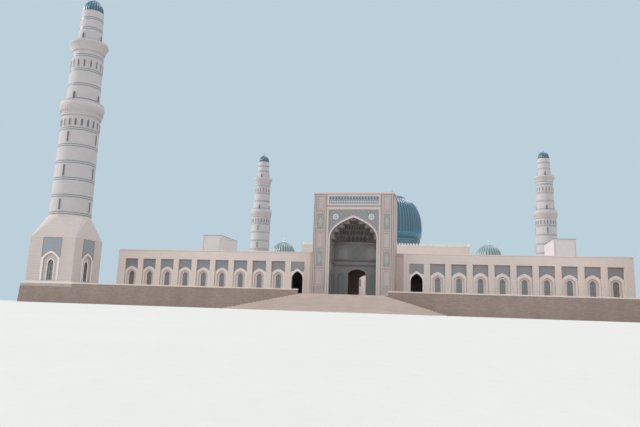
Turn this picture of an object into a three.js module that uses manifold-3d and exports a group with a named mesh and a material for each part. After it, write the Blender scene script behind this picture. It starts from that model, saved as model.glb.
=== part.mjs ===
// Mosque on a walled podium: splayed stair, portal, two arcaded wings, courtyard,
// domed prayer hall and four corner minarets.
// Scale model at 1:10 of a building about 128 m wide. Millimetres, +Z up.
// The layout below has Y = 0 on the face of the wings, with X along the front and
// Y to the back. The outer group at the end moves the middle of the plan to the origin.

import * as THREE from 'three';
import Module from 'manifold-3d';
import { mergeVertices } from 'three/addons/utils/BufferGeometryUtils.js';
import { ConvexGeometry } from 'three/addons/geometries/ConvexGeometry.js';

const wasm = await Module();
wasm.setup();

// Walls and bays
const BAY = 420;
const WALL = 90;
const HALL_WALL = 100;
const NICHE_DEPTH = 66;
const SEAM = 0.5;
const CUT_OVERRUN = 10;

// Levels
const TERRACE_Z = 310;
const PARAPET_Z = 390;
const ROOF_UNDERSIDE_Z = 1120;
const ROOF_Z = 1160;
const RANGE_TOP_Z = 1224;
const HALL_CEILING_Z = 1960;
const HALL_ROOF_Z = 2010;
const HALL_TOP_Z = 2085;

// Plan of the main rectangle: wings, side ranges, courtyard and hall
const RANGE_HALF = 5346;
const RANGE_DEPTH = 11424;
const HALL_HALF = 2604;
const COURT_FRONT_Y = 2100;
const HALL_FRONT_Y = 6468;

// Podium, its parapet and the stair
const MINARET_X = 5833;
const MINARET_FRONT_Y = -1261;
const MINARET_BACK_Y = 12679;
const MINARET_BASE_HALF = 498;
const PODIUM_MARGIN = 60;
const PODIUM_BATTER = 12;
const PLINTH_HALF = MINARET_BASE_HALF + PODIUM_MARGIN;
const PLINTH_TOP_Z = 360;
const MOULDING_HALF = 505;
const PODIUM_HALF = MINARET_X + MINARET_BASE_HALF + PODIUM_MARGIN;
const PODIUM_FRONT_Y = MINARET_FRONT_Y - MINARET_BASE_HALF - PODIUM_MARGIN;
const PODIUM_BACK_Y = MINARET_BACK_Y + MINARET_BASE_HALF + PODIUM_MARGIN;
const PARAPET_THICKNESS = 60;
const PARAPET_LEAN = 4;
const COPING_HEIGHT = 12;
const COPING_OVERHANG = 6;
const STAIR_STEPS = 20;
const STAIR_TOP_HALF = 756;
const STAIR_TREAD = 55;

// Portal
const PORTAL_HALF = 815;
const PORTAL_FRONT_Y = -551;
const PORTAL_BACK_Y = 272;
const PORTAL_TOP_Z = 2395;
const IWAN_HALF = 475;
const IWAN_SPRING_Z = 1459;
const IWAN_APEX_Z = 1886;
const IWAN_BACK_Y = 150;
const VAULT_FRONT_Y = -431;
const LINK_HALF = 979;
const BALCONY_Z = [979, 1033];
const BALCONY_DEPTH = 50;

// Pointed openings: half width, sill, springing and apex
const NICHE = { half: 108, sill: PARAPET_Z, spring: 700, apex: 800 };
const WINDOW = { half: 49, sill: 435, spring: 693, apex: 748 };
const DOORWAY = { half: 126, sill: TERRACE_Z, spring: 665, apex: 826 };
const PORTAL_DOOR = { half: 190, sill: TERRACE_Z, spring: 790, apex: 900 };
const HALL_DOOR = { half: 420, sill: TERRACE_Z, spring: 1100, apex: 1350 };
const BASE_NICHE = { half: 160, sill: PARAPET_Z + 30, spring: 815, apex: 968 };
const BASE_WINDOW = { half: 65, sill: 435, spring: 752, apex: 842 };
const ARCH_SHOULDER = 0.6;

// Shallow rectangular recess of each bay, for its tile panel and its niche
const BAY_RECESS = { half: 150, z: [PARAPET_Z, 1022], depth: 40 };

// Bays along each wall
const DOORWAY_BAY_X = 1239;
const FRONT_BAYS = 9;
const SIDE_BAYS = 26;
const BACK_BAYS = 24;
const BACK_BAYS_BY_RANGE = 6;
const COURT_BAYS = 10;
const COURT_END_BAYS = 5;
const HALL_FIRST_BAY = 2;

// Main dome and its drum
const DOME_Y = 9702;
const DOME_RADIUS = 1067;
const DOME_CENTRE_Z = 2995;
const DOME_RISE = 1218;
const DOME_SHELL = 50;
const DOME_LIP_Z = 2726;
const DRUM_TOP_Z = 2612;
const DRUM_RADIUS = 1014;
const DRUM_BORE = 940;
const FINIAL_SEAT = 45;
const DOME_FINIAL_TOP_Z = 4532;

// Small domes and roof pavilions
const SMALL_DOME_X = 3125;
const SMALL_DOME_Y = 6150;
const SMALL_DOME_RADIUS = 378;
const SMALL_DRUM_RADIUS = 355;
const SMALL_DRUM_TOP_Z = 1710;
const SMALL_DOME_TOP_Z = 2104;
const SMALL_FINIAL_TOP_Z = 2232;
const SMALL_SHELL = 30;
const PAVILION_X = [4751, 5335];
const PAVILION_Y = [4918, 6454];
const PAVILION_TOP_Z = 2151;
const PAVILION_WALL = 40;

// Minarets
const BASE_SHOULDER_Z = 1278;
const BASE_RING_Z = 1734;
const BASE_TOP_Z = 1814;
const BASE_RING_RADIUS = 422;
const COLLAR_RADIUS = 419;
const BASE_NICHE_DEPTH = 30;
const BASE_WINDOW_DEPTH = 70;
const SHAFT_BOTTOM_RADIUS = 412;
const SHAFT_TOP_RADIUS = 390;
const LOWER_BALCONY = { z: 3860, railZ: 4185, radius: 452, walk: 344 };
const UPPER_BALCONY = { z: 5262, railZ: 5590, radius: 406, walk: 260 };
const MIDDLE_TOP_RADIUS = 322;
const TOP_SHAFT_TOP_RADIUS = 229;
const SHAFT_END_Z = 6305;
const CAP_RADIUS = 220;
const CAP_TOP_Z = 6607;
const CAP_FINIAL_TOP_Z = 6758;

// Rounding of curves
const ARCH_SEGMENTS = 3;
const PLAIN_ARCH_SEGMENTS = 2;
const IWAN_SEGMENTS = 8;
const DOME_SIDES = 32;
const SMALL_DOME_SIDES = 16;
const SHAFT_SIDES = 16;
const CAP_SIDES = 12;

// Materials
const COLOURS = {
  wall: [0xcdbcae, 0.85],
  podium: [0x7d6c62, 0.9],
  stair: [0xd6c6b4, 0.85],
  portal: [0xc9b5aa, 0.8],
  link: [0x9c857a, 0.85],
  vault: [0x8d8c88, 0.7],
  roof: [0xb9b2a8, 0.9],
  glazing: [0x5f7785, 0.2],
  dome: [0x4c7480, 0.35],
  finial: [0xb8a36a, 0.35],
  minaret: [0xd9d2c6, 0.8],
};

function paint(slot) {
  const [color, roughness] = COLOURS[slot];
  return new THREE.MeshStandardMaterial({ color, roughness, metalness: slot === 'finial' ? 0.8 : 0 });
}

function node(name, geometry, slot) {
  const mesh = new THREE.Mesh(geometry, paint(slot));
  mesh.name = name;
  return mesh;
}

// Booleans on closed meshes

function solidFrom(geometry) {
  const bare = geometry.clone();
  bare.deleteAttribute('normal');
  bare.deleteAttribute('uv');
  const merged = mergeVertices(bare);
  return new wasm.Manifold(new wasm.Mesh({
    numProp: 3,
    vertProperties: new Float32Array(merged.attributes.position.array),
    triVerts: new Uint32Array(merged.index.array),
  }));
}

function geometryFrom(solid) {
  const mesh = solid.getMesh();
  const geometry = new THREE.BufferGeometry();
  geometry.setAttribute('position', new THREE.BufferAttribute(mesh.vertProperties, 3));
  geometry.setIndex(new THREE.BufferAttribute(mesh.triVerts, 1));
  return geometry;
}

function cutAll(geometry, cutters) {
  let solid = solidFrom(geometry);
  for (const cutter of cutters) {
    solid = solid.subtract(solidFrom(cutter));
  }
  return geometryFrom(solid);
}

function joinAll(geometries) {
  let solid = solidFrom(geometries[0]);
  for (const other of geometries.slice(1)) {
    solid = solid.add(solidFrom(other));
  }
  return geometryFrom(solid);
}

// Plain shapes

function box(x, y, z) {
  const geometry = new THREE.BoxGeometry(x[1] - x[0], y[1] - y[0], z[1] - z[0]);
  return geometry.translate((x[0] + x[1]) / 2, (y[0] + y[1]) / 2, (z[0] + z[1]) / 2);
}

// A shape drawn in X and Z, pushed from y0 back to y1
function pushBack(shape, y0, y1, curveSegments) {
  const geometry = new THREE.ExtrudeGeometry(shape, { depth: y1 - y0, bevelEnabled: false, curveSegments });
  return geometry.rotateX(Math.PI / 2).translate(0, y1, 0);
}

function pointedArch(x, { half, sill, spring, apex }) {
  const shoulder = spring + ARCH_SHOULDER * (apex - spring);
  const shape = new THREE.Shape();
  shape.moveTo(x - half, sill);
  shape.lineTo(x + half, sill);
  shape.lineTo(x + half, spring);
  shape.quadraticCurveTo(x + half, shoulder, x, apex);
  shape.quadraticCurveTo(x - half, shoulder, x - half, spring);
  return shape;
}

function lathe(profile, sides) {
  const points = profile.map(([radius, z]) => new THREE.Vector2(radius, z));
  return new THREE.LatheGeometry(points, sides).rotateX(Math.PI / 2);
}

// Points of a quarter ellipse from its side up to the radius where it stops
function ellipseArc(radius, centreZ, rise, stopRadius, steps) {
  const last = Math.acos(stopRadius / radius);
  const points = [];
  for (let i = 0; i <= steps; i += 1) {
    const angle = (last * i) / steps;
    points.push([radius * Math.cos(angle), centreZ + rise * Math.sin(angle)]);
  }
  return points;
}

// A wall from x0 to x1 with its face at y = 0 and its thickness behind it
function wallWithBays({
  x0, x1, z0, z1, thickness = WALL, niches, windows = [], doors = [], segments = PLAIN_ARCH_SEGMENTS,
}) {
  const { half, z, depth } = BAY_RECESS;
  const cutters = niches.map((x) => box([x - half, x + half], [-CUT_OVERRUN, depth], z));
  for (const x of niches) {
    cutters.push(pushBack(pointedArch(x, NICHE), -CUT_OVERRUN, NICHE_DEPTH, segments));
  }
  for (const x of windows) {
    cutters.push(pushBack(pointedArch(x, WINDOW), -CUT_OVERRUN, thickness + CUT_OVERRUN, segments));
  }
  for (const { x, arch } of doors) {
    const reach = { ...arch, sill: arch.sill - CUT_OVERRUN };
    cutters.push(pushBack(pointedArch(x, reach), -CUT_OVERRUN, thickness + CUT_OVERRUN, ARCH_SEGMENTS));
  }
  return cutAll(box([x0, x1], [0, thickness], [z0, z1]), cutters);
}

function bayCentres(count, first) {
  return Array.from({ length: count }, (_, i) => first + BAY * i);
}

function centredBays(count) {
  return bayCentres(count, (-BAY * (count - 1)) / 2);
}

function mirrored(centres) {
  return centres.map((x) => -x).reverse();
}

const mosque = new THREE.Group();

// Podium, slightly battered on all four sides

function podium() {
  const corners = [];
  for (const sx of [-1, 1]) {
    for (const y of [PODIUM_FRONT_Y, PODIUM_BACK_Y]) {
      const outward = y === PODIUM_FRONT_Y ? -PODIUM_BATTER : PODIUM_BATTER;
      corners.push(new THREE.Vector3(sx * PODIUM_HALF, y, TERRACE_Z));
      corners.push(new THREE.Vector3(sx * (PODIUM_HALF + PODIUM_BATTER), y + outward, 0));
    }
  }
  return new ConvexGeometry(corners);
}

mosque.add(node('podium', podium(), 'podium'));

// Stair in front of the portal, splayed to three sides, with a small gap to the battered wall

function grandStair() {
  const rise = TERRACE_Z / STAIR_STEPS;
  const steps = [];
  for (let i = 0; i < STAIR_STEPS; i += 1) {
    const spread = STAIR_TREAD * (STAIR_STEPS - 1 - i);
    const x = STAIR_TOP_HALF + spread;
    const front = PODIUM_FRONT_Y - PODIUM_BATTER - STAIR_TREAD - spread;
    steps.push(box([-x, x], [front, PODIUM_FRONT_Y + STAIR_TREAD], [rise * i, rise * (i + 1)]));
  }
  const wall = new THREE.Shape();
  wall.moveTo(PODIUM_FRONT_Y - SEAM, TERRACE_Z + CUT_OVERRUN);
  wall.lineTo(PODIUM_FRONT_Y - SEAM, TERRACE_Z);
  wall.lineTo(PODIUM_FRONT_Y - PODIUM_BATTER - SEAM, 0);
  wall.lineTo(PODIUM_FRONT_Y - PODIUM_BATTER - SEAM, -CUT_OVERRUN);
  wall.lineTo(0, -CUT_OVERRUN);
  wall.lineTo(0, TERRACE_Z + CUT_OVERRUN);
  const reach = 2 * (STAIR_TOP_HALF + STAIR_TREAD * STAIR_STEPS);
  const cutter = new THREE.ExtrudeGeometry(wall, { depth: 2 * reach, bevelEnabled: false });
  cutter.applyMatrix4(new THREE.Matrix4().makeBasis(
    new THREE.Vector3(0, 1, 0),
    new THREE.Vector3(0, 0, 1),
    new THREE.Vector3(1, 0, 0),
  )).translate(-reach, 0, 0);
  return cutAll(joinAll(steps), [cutter]);
}

mosque.add(node('grand_stair', grandStair(), 'stair'));

// Parapet of the podium: its outer face carries on the batter, under a light coping

function parapet(length) {
  const top = PARAPET_Z - TERRACE_Z;
  const neck = top - COPING_HEIGHT;
  const profile = new THREE.Shape();
  profile.moveTo(0, 0);
  profile.lineTo(PARAPET_THICKNESS, 0);
  profile.lineTo(PARAPET_THICKNESS, neck);
  profile.lineTo(PARAPET_THICKNESS + COPING_OVERHANG, neck);
  profile.lineTo(PARAPET_THICKNESS + COPING_OVERHANG, top);
  profile.lineTo(PARAPET_LEAN - COPING_OVERHANG, top);
  profile.lineTo(PARAPET_LEAN - COPING_OVERHANG, neck);
  profile.lineTo(PARAPET_LEAN, neck);
  const geometry = new THREE.ExtrudeGeometry(profile, { depth: length, bevelEnabled: false });
  return geometry.applyMatrix4(new THREE.Matrix4().makeBasis(
    new THREE.Vector3(0, 1, 0),
    new THREE.Vector3(0, 0, 1),
    new THREE.Vector3(1, 0, 0),
  ));
}

function addParapet(name, length, x, y, turn) {
  const mesh = node(name, parapet(length), 'podium');
  mesh.position.set(x, y, TERRACE_Z);
  mesh.rotation.z = turn;
  mosque.add(mesh);
}

const PARAPET_END = MINARET_X - PLINTH_HALF;
const PARAPET_SIDE_Y0 = MINARET_FRONT_Y + PLINTH_HALF;
const PARAPET_SIDE_Y1 = MINARET_BACK_Y - PLINTH_HALF;
const STAIR_GAP_HALF = STAIR_TOP_HALF + STAIR_TREAD;
addParapet('podium_parapet_front_left', PARAPET_END - STAIR_GAP_HALF, -PARAPET_END, PODIUM_FRONT_Y, 0);
addParapet('podium_parapet_front_right', PARAPET_END - STAIR_GAP_HALF, STAIR_GAP_HALF, PODIUM_FRONT_Y, 0);
addParapet('podium_parapet_right', PARAPET_SIDE_Y1 - PARAPET_SIDE_Y0, PODIUM_HALF, PARAPET_SIDE_Y0, Math.PI / 2);
addParapet('podium_parapet_back', 2 * PARAPET_END, PARAPET_END, PODIUM_BACK_Y, Math.PI);
addParapet('podium_parapet_left', PARAPET_SIDE_Y1 - PARAPET_SIDE_Y0, -PODIUM_HALF, PARAPET_SIDE_Y1, -Math.PI / 2);

// Portal: two piers, the arched head, the stepped vault, the back wall and the links to the wings

function portalHead() {
  const shoulder = IWAN_SPRING_Z + ARCH_SHOULDER * (IWAN_APEX_Z - IWAN_SPRING_Z);
  const shape = new THREE.Shape();
  shape.moveTo(-IWAN_HALF, IWAN_SPRING_Z);
  shape.quadraticCurveTo(-IWAN_HALF, shoulder, 0, IWAN_APEX_Z);
  shape.quadraticCurveTo(IWAN_HALF, shoulder, IWAN_HALF, IWAN_SPRING_Z);
  shape.lineTo(IWAN_HALF, PORTAL_TOP_Z);
  shape.lineTo(-IWAN_HALF, PORTAL_TOP_Z);
  return pushBack(shape, PORTAL_FRONT_Y, PORTAL_BACK_Y, IWAN_SEGMENTS);
}

// Tiers of the vault: half octagons that shrink towards the apex
const VAULT_TIERS = [
  { top: 1600, half: 420, depth: 520 },
  { top: 1690, half: 340, depth: 420 },
  { top: 1770, half: 235, depth: 300 },
  { top: 1835, half: 105, depth: 150 },
];

function portalVault() {
  const outline = pointedArch(0, {
    half: IWAN_HALF - SEAM,
    sill: IWAN_SPRING_Z,
    spring: IWAN_SPRING_Z + SEAM,
    apex: IWAN_APEX_Z - SEAM,
  });
  const block = pushBack(outline, VAULT_FRONT_Y, IWAN_BACK_Y + WALL, IWAN_SEGMENTS);
  let floor = IWAN_SPRING_Z - CUT_OVERRUN;
  const cutters = VAULT_TIERS.map(({ top, half, depth }) => {
    const chamfer = half / 2;
    const plan = new THREE.Shape();
    plan.moveTo(-half, -CUT_OVERRUN);
    plan.lineTo(half, -CUT_OVERRUN);
    plan.lineTo(half, depth - chamfer);
    plan.lineTo(half - chamfer, depth);
    plan.lineTo(chamfer - half, depth);
    plan.lineTo(-half, depth - chamfer);
    const tier = new THREE.ExtrudeGeometry(plan, { depth: top - floor, bevelEnabled: false });
    tier.translate(0, VAULT_FRONT_Y, floor);
    floor = top - 1;
    return tier;
  });
  return cutAll(block, cutters);
}

function portalBackWall() {
  const wall = box([-IWAN_HALF, IWAN_HALF], [IWAN_BACK_Y, IWAN_BACK_Y + WALL], [TERRACE_Z, IWAN_SPRING_Z]);
  const balcony = box([-IWAN_HALF, IWAN_HALF], [IWAN_BACK_Y - BALCONY_DEPTH, IWAN_BACK_Y + 1], BALCONY_Z);
  const door = { ...PORTAL_DOOR, sill: TERRACE_Z - CUT_OVERRUN };
  const opening = pushBack(pointedArch(0, door), IWAN_BACK_Y - WALL, IWAN_BACK_Y + 2 * WALL, ARCH_SEGMENTS);
  return cutAll(joinAll([wall, balcony]), [opening]);
}

for (const [side, sign] of [['left', -1], ['right', 1]]) {
  const pier = box([IWAN_HALF, PORTAL_HALF], [PORTAL_FRONT_Y, PORTAL_BACK_Y], [TERRACE_Z, PORTAL_TOP_Z]);
  const link = box([PORTAL_HALF, LINK_HALF], [0, WALL], [TERRACE_Z, RANGE_TOP_Z]);
  pier.translate(sign < 0 ? -IWAN_HALF - PORTAL_HALF : 0, 0, 0);
  link.translate(sign < 0 ? -PORTAL_HALF - LINK_HALF : 0, 0, 0);
  mosque.add(node(`portal_pier_${side}`, pier, 'portal'));
  mosque.add(node(`portal_link_${side}`, link, 'link'));
}
mosque.add(node('portal_arch_head', portalHead(), 'portal'));
mosque.add(node('portal_vault', portalVault(), 'vault'));
mosque.add(node('portal_back_wall', portalBackWall(), 'vault'));

// Wings: a doorway bay beside the portal, then nine bays with a niche and a window

const DOORWAY_BAY_END = DOORWAY_BAY_X + BAY / 2;
const FRONT_CENTRES = bayCentres(FRONT_BAYS, DOORWAY_BAY_X + BAY);

function addWing(side, turned) {
  const place = turned ? mirrored : (centres) => centres;
  const [bay0, bay1] = turned ? [-DOORWAY_BAY_END, -LINK_HALF] : [LINK_HALF, DOORWAY_BAY_END];
  const [wall0, wall1] = turned ? [-RANGE_HALF, -DOORWAY_BAY_END] : [DOORWAY_BAY_END, RANGE_HALF];
  const doorX = turned ? -DOORWAY_BAY_X : DOORWAY_BAY_X;
  const levels = { z0: TERRACE_Z, z1: RANGE_TOP_Z, segments: ARCH_SEGMENTS };
  const doorway = wallWithBays({
    x0: bay0, x1: bay1, ...levels, niches: [], doors: [{ x: doorX, arch: DOORWAY }],
  });
  const centres = place(FRONT_CENTRES);
  const wall = wallWithBays({ x0: wall0, x1: wall1, ...levels, niches: centres, windows: centres });
  mosque.add(node(`front_doorway_${side}`, doorway, 'wall'));
  mosque.add(node(`front_wall_${side}`, wall, 'wall'));
}

addWing('left', true);
addWing('right', false);

// Side and back walls of the ranges

function addTurnedWall(name, geometry, x, y, turn) {
  const mesh = node(name, geometry, 'wall');
  mesh.position.set(x, y, 0);
  mesh.rotation.z = turn;
  mosque.add(mesh);
}

const SIDE_HALF = RANGE_DEPTH / 2 - WALL;
const sideWall = wallWithBays({
  x0: -SIDE_HALF, x1: SIDE_HALF, z0: TERRACE_Z, z1: RANGE_TOP_Z,
  niches: centredBays(SIDE_BAYS), windows: centredBays(SIDE_BAYS),
});
addTurnedWall('side_wall_left', sideWall, -RANGE_HALF, RANGE_DEPTH / 2, -Math.PI / 2);
addTurnedWall('side_wall_right', sideWall.clone(), RANGE_HALF, RANGE_DEPTH / 2, Math.PI / 2);

const backWall = wallWithBays({
  x0: -RANGE_HALF, x1: RANGE_HALF, z0: TERRACE_Z, z1: RANGE_TOP_Z,
  niches: centredBays(BACK_BAYS), windows: centredBays(BACK_BAYS),
});
addTurnedWall('back_wall', backWall, 0, RANGE_DEPTH, Math.PI);

// One sheet of glass behind the windows of each outer wall

const GLASS = 6;
const GLASS_Z = [WINDOW.sill - 15, WINDOW.apex + 15];
const FRONT_GLASS_X = [FRONT_CENTRES[0] - BAY / 4, FRONT_CENTRES[FRONT_BAYS - 1] + BAY / 4];
const sideGlassHalf = (BAY * (SIDE_BAYS - 1)) / 2 + BAY / 4;
const backGlassHalf = (BAY * (BACK_BAYS - 1)) / 2 + BAY / 4;
const hallGlassHalf = backGlassHalf - BAY * BACK_BAYS_BY_RANGE;
const rangeGlassX = [hallGlassHalf + BAY / 2, backGlassHalf];
const backGlassY = [RANGE_DEPTH - WALL - GLASS, RANGE_DEPTH - WALL];
const sideGlassY = [RANGE_DEPTH / 2 - sideGlassHalf, RANGE_DEPTH / 2 + sideGlassHalf];
const innerX = RANGE_HALF - WALL;
const panes = {
  glazing_front_left: box([-FRONT_GLASS_X[1], -FRONT_GLASS_X[0]], [WALL, WALL + GLASS], GLASS_Z),
  glazing_front_right: box(FRONT_GLASS_X, [WALL, WALL + GLASS], GLASS_Z),
  glazing_side_left: box([-innerX, GLASS - innerX], sideGlassY, GLASS_Z),
  glazing_side_right: box([innerX - GLASS, innerX], sideGlassY, GLASS_Z),
  glazing_back_left: box([-rangeGlassX[1], -rangeGlassX[0]], backGlassY, GLASS_Z),
  glazing_back_right: box(rangeGlassX, backGlassY, GLASS_Z),
  glazing_hall: box([-hallGlassHalf, hallGlassHalf], backGlassY, GLASS_Z),
};
for (const [name, pane] of Object.entries(panes)) {
  mosque.add(node(name, pane, 'glazing'));
}

// Courtyard walls with blind niches, and a doorway behind the portal

const courtEnds = bayCentres(COURT_END_BAYS, BAY);
const courtFront = wallWithBays({
  x0: -HALL_HALF, x1: HALL_HALF, z0: TERRACE_Z, z1: RANGE_TOP_Z,
  niches: [...mirrored(courtEnds), ...courtEnds], doors: [{ x: 0, arch: PORTAL_DOOR }],
});
addTurnedWall('court_wall_front', courtFront, 0, COURT_FRONT_Y, Math.PI);

const courtSideHalf = (HALL_FRONT_Y - COURT_FRONT_Y) / 2;
const courtSide = wallWithBays({
  x0: -courtSideHalf, x1: courtSideHalf, z0: TERRACE_Z, z1: RANGE_TOP_Z, niches: centredBays(COURT_BAYS),
});
const courtMiddleY = (HALL_FRONT_Y + COURT_FRONT_Y) / 2;
const courtFaceX = HALL_HALF - WALL;
addTurnedWall('court_wall_left', courtSide, -courtFaceX, courtMiddleY, Math.PI / 2);
addTurnedWall('court_wall_right', courtSide.clone(), courtFaceX, courtMiddleY, -Math.PI / 2);

// Prayer hall: four walls to the roof parapet, and a roof with a round opening under the dome

const hallEnds = bayCentres(COURT_END_BAYS + 1 - HALL_FIRST_BAY, BAY * HALL_FIRST_BAY);
const hallFront = wallWithBays({
  x0: -HALL_HALF, x1: HALL_HALF, z0: TERRACE_Z, z1: HALL_TOP_Z, thickness: HALL_WALL,
  niches: [...mirrored(hallEnds), ...hallEnds], doors: [{ x: 0, arch: HALL_DOOR }],
});
addTurnedWall('hall_front_wall', hallFront, 0, HALL_FRONT_Y, 0);

const hallSideY = [HALL_FRONT_Y + HALL_WALL, RANGE_DEPTH - WALL];
const hallInner = HALL_HALF - WALL;
const hallZ = [TERRACE_Z, HALL_TOP_Z];
mosque.add(node('hall_wall_left', box([-HALL_HALF, -hallInner], hallSideY, hallZ), 'wall'));
mosque.add(node('hall_wall_right', box([hallInner, HALL_HALF], hallSideY, hallZ), 'wall'));
const upperBack = box([-HALL_HALF, HALL_HALF], [RANGE_DEPTH - WALL, RANGE_DEPTH], [RANGE_TOP_Z, HALL_TOP_Z]);
mosque.add(node('hall_wall_back', upperBack, 'wall'));

function hallRoof() {
  const slab = box([-hallInner, hallInner], hallSideY, [HALL_CEILING_Z, HALL_ROOF_Z]);
  const middle = (HALL_CEILING_Z + HALL_ROOF_Z) / 2;
  const height = HALL_ROOF_Z - HALL_CEILING_Z + 2 * CUT_OVERRUN;
  const hole = new THREE.CylinderGeometry(DRUM_BORE, DRUM_BORE, height, DOME_SIDES);
  hole.rotateX(Math.PI / 2).translate(0, DOME_Y, middle);
  return cutAll(slab, [hole]);
}

mosque.add(node('hall_roof', hallRoof(), 'roof'));

// Flat roofs of the ranges

function frontRoof() {
  const depthEnd = COURT_FRONT_Y - WALL;
  const plan = new THREE.Shape();
  plan.moveTo(-innerX, WALL);
  plan.lineTo(-PORTAL_HALF, WALL);
  plan.lineTo(-PORTAL_HALF, PORTAL_BACK_Y);
  plan.lineTo(PORTAL_HALF, PORTAL_BACK_Y);
  plan.lineTo(PORTAL_HALF, WALL);
  plan.lineTo(innerX, WALL);
  plan.lineTo(innerX, depthEnd);
  plan.lineTo(-innerX, depthEnd);
  const slab = new THREE.ExtrudeGeometry(plan, { depth: ROOF_Z - ROOF_UNDERSIDE_Z, bevelEnabled: false });
  return slab.translate(0, 0, ROOF_UNDERSIDE_Z);
}

const sideRoofY = [COURT_FRONT_Y - WALL, RANGE_DEPTH - WALL];
const roofZ = [ROOF_UNDERSIDE_Z, ROOF_Z];
mosque.add(node('roof_front', frontRoof(), 'roof'));
mosque.add(node('roof_left', box([-innerX, -HALL_HALF], sideRoofY, roofZ), 'roof'));
mosque.add(node('roof_right', box([HALL_HALF, innerX], sideRoofY, roofZ), 'roof'));

// Main dome on its drum, with a finial

const drum = lathe([
  [DRUM_BORE, HALL_ROOF_Z],
  [DRUM_RADIUS, HALL_ROOF_Z],
  [DRUM_RADIUS, DRUM_TOP_Z],
  [DRUM_BORE, DRUM_TOP_Z],
  [DRUM_BORE, HALL_ROOF_Z],
], DOME_SIDES);
const domeInner = DOME_RADIUS - DOME_SHELL;
const domeOutside = ellipseArc(DOME_RADIUS, DOME_CENTRE_Z, DOME_RISE, FINIAL_SEAT, 8).reverse();
const domeInside = ellipseArc(domeInner, DOME_CENTRE_Z, DOME_RISE - DOME_SHELL, 0, 5);
domeInside[domeInside.length - 1][0] = 0;
const dome = lathe([
  [0, domeOutside[0][1]],
  ...domeOutside,
  [DOME_RADIUS, DOME_LIP_Z],
  [DRUM_RADIUS, DRUM_TOP_Z],
  [DRUM_BORE, DRUM_TOP_Z],
  [domeInner, DOME_LIP_Z],
  ...domeInside,
].reverse(), DOME_SIDES);

// A finial of a foot, two balls and a spike
function finialProfile(foot, z0, z1) {
  const height = z1 - z0;
  return [
    [0, z0],
    [foot, z0],
    [foot * 0.35, z0 + height * 0.12],
    [foot * 0.9, z0 + height * 0.3],
    [foot * 0.3, z0 + height * 0.45],
    [foot * 0.5, z0 + height * 0.58],
    [foot * 0.2, z0 + height * 0.7],
    [0, z1],
  ];
}

const domeTop = domeOutside[0][1];
for (const [name, geometry, slot] of [
  ['main_dome_drum', drum, 'dome'],
  ['main_dome', dome, 'dome'],
  ['main_dome_finial', lathe(finialProfile(FINIAL_SEAT, domeTop, DOME_FINIAL_TOP_Z), 10), 'finial'],
]) {
  const mesh = node(name, geometry, slot);
  mesh.position.y = DOME_Y;
  mosque.add(mesh);
}

// Small domes and pavilions on the side ranges

const smallRise = SMALL_DOME_TOP_Z - SMALL_DRUM_TOP_Z;
const smallInner = SMALL_DRUM_RADIUS - SMALL_SHELL;
const smallInside = ellipseArc(smallInner, SMALL_DRUM_TOP_Z, smallRise - SMALL_SHELL, 0, 3);
smallInside[smallInside.length - 1][0] = 0;
const smallFinial = finialProfile(SMALL_SHELL, SMALL_DOME_TOP_Z, SMALL_FINIAL_TOP_Z).slice(1);
const smallDome = lathe([
  ...smallInside.reverse(),
  [smallInner, ROOF_Z],
  [SMALL_DRUM_RADIUS, ROOF_Z],
  [SMALL_DRUM_RADIUS, SMALL_DRUM_TOP_Z],
  ...ellipseArc(SMALL_DOME_RADIUS, SMALL_DRUM_TOP_Z, smallRise, SMALL_SHELL, 5),
  ...smallFinial,
], SMALL_DOME_SIDES);

function pavilion() {
  const shell = box(PAVILION_X, PAVILION_Y, [ROOF_Z, PAVILION_TOP_Z]);
  const inset = ([low, high]) => [low + PAVILION_WALL, high - PAVILION_WALL];
  const inside = box(inset(PAVILION_X), inset(PAVILION_Y), [ROOF_Z - CUT_OVERRUN, PAVILION_TOP_Z - PAVILION_WALL]);
  const overWall = [innerX, PAVILION_X[1] + CUT_OVERRUN];
  const alongWall = [PAVILION_Y[0] - CUT_OVERRUN, PAVILION_Y[1] + CUT_OVERRUN];
  const wallHead = box(overWall, alongWall, [ROOF_Z - CUT_OVERRUN, RANGE_TOP_Z]);
  return cutAll(shell, [inside, wallHead]);
}

for (const [side, sign] of [['left', -1], ['right', 1]]) {
  const domeMesh = node(`small_dome_${side}`, smallDome.clone(), 'dome');
  domeMesh.position.set(sign * SMALL_DOME_X, SMALL_DOME_Y, 0);
  mosque.add(domeMesh);
  const block = pavilion();
  if (sign < 0) {
    block.rotateZ(Math.PI).translate(0, PAVILION_Y[0] + PAVILION_Y[1], 0);
  }
  mosque.add(node(`roof_pavilion_${side}`, block, 'wall'));
}

// Minarets: a square base with broached corners, the shaft with two balconies, and a domed cap

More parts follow.
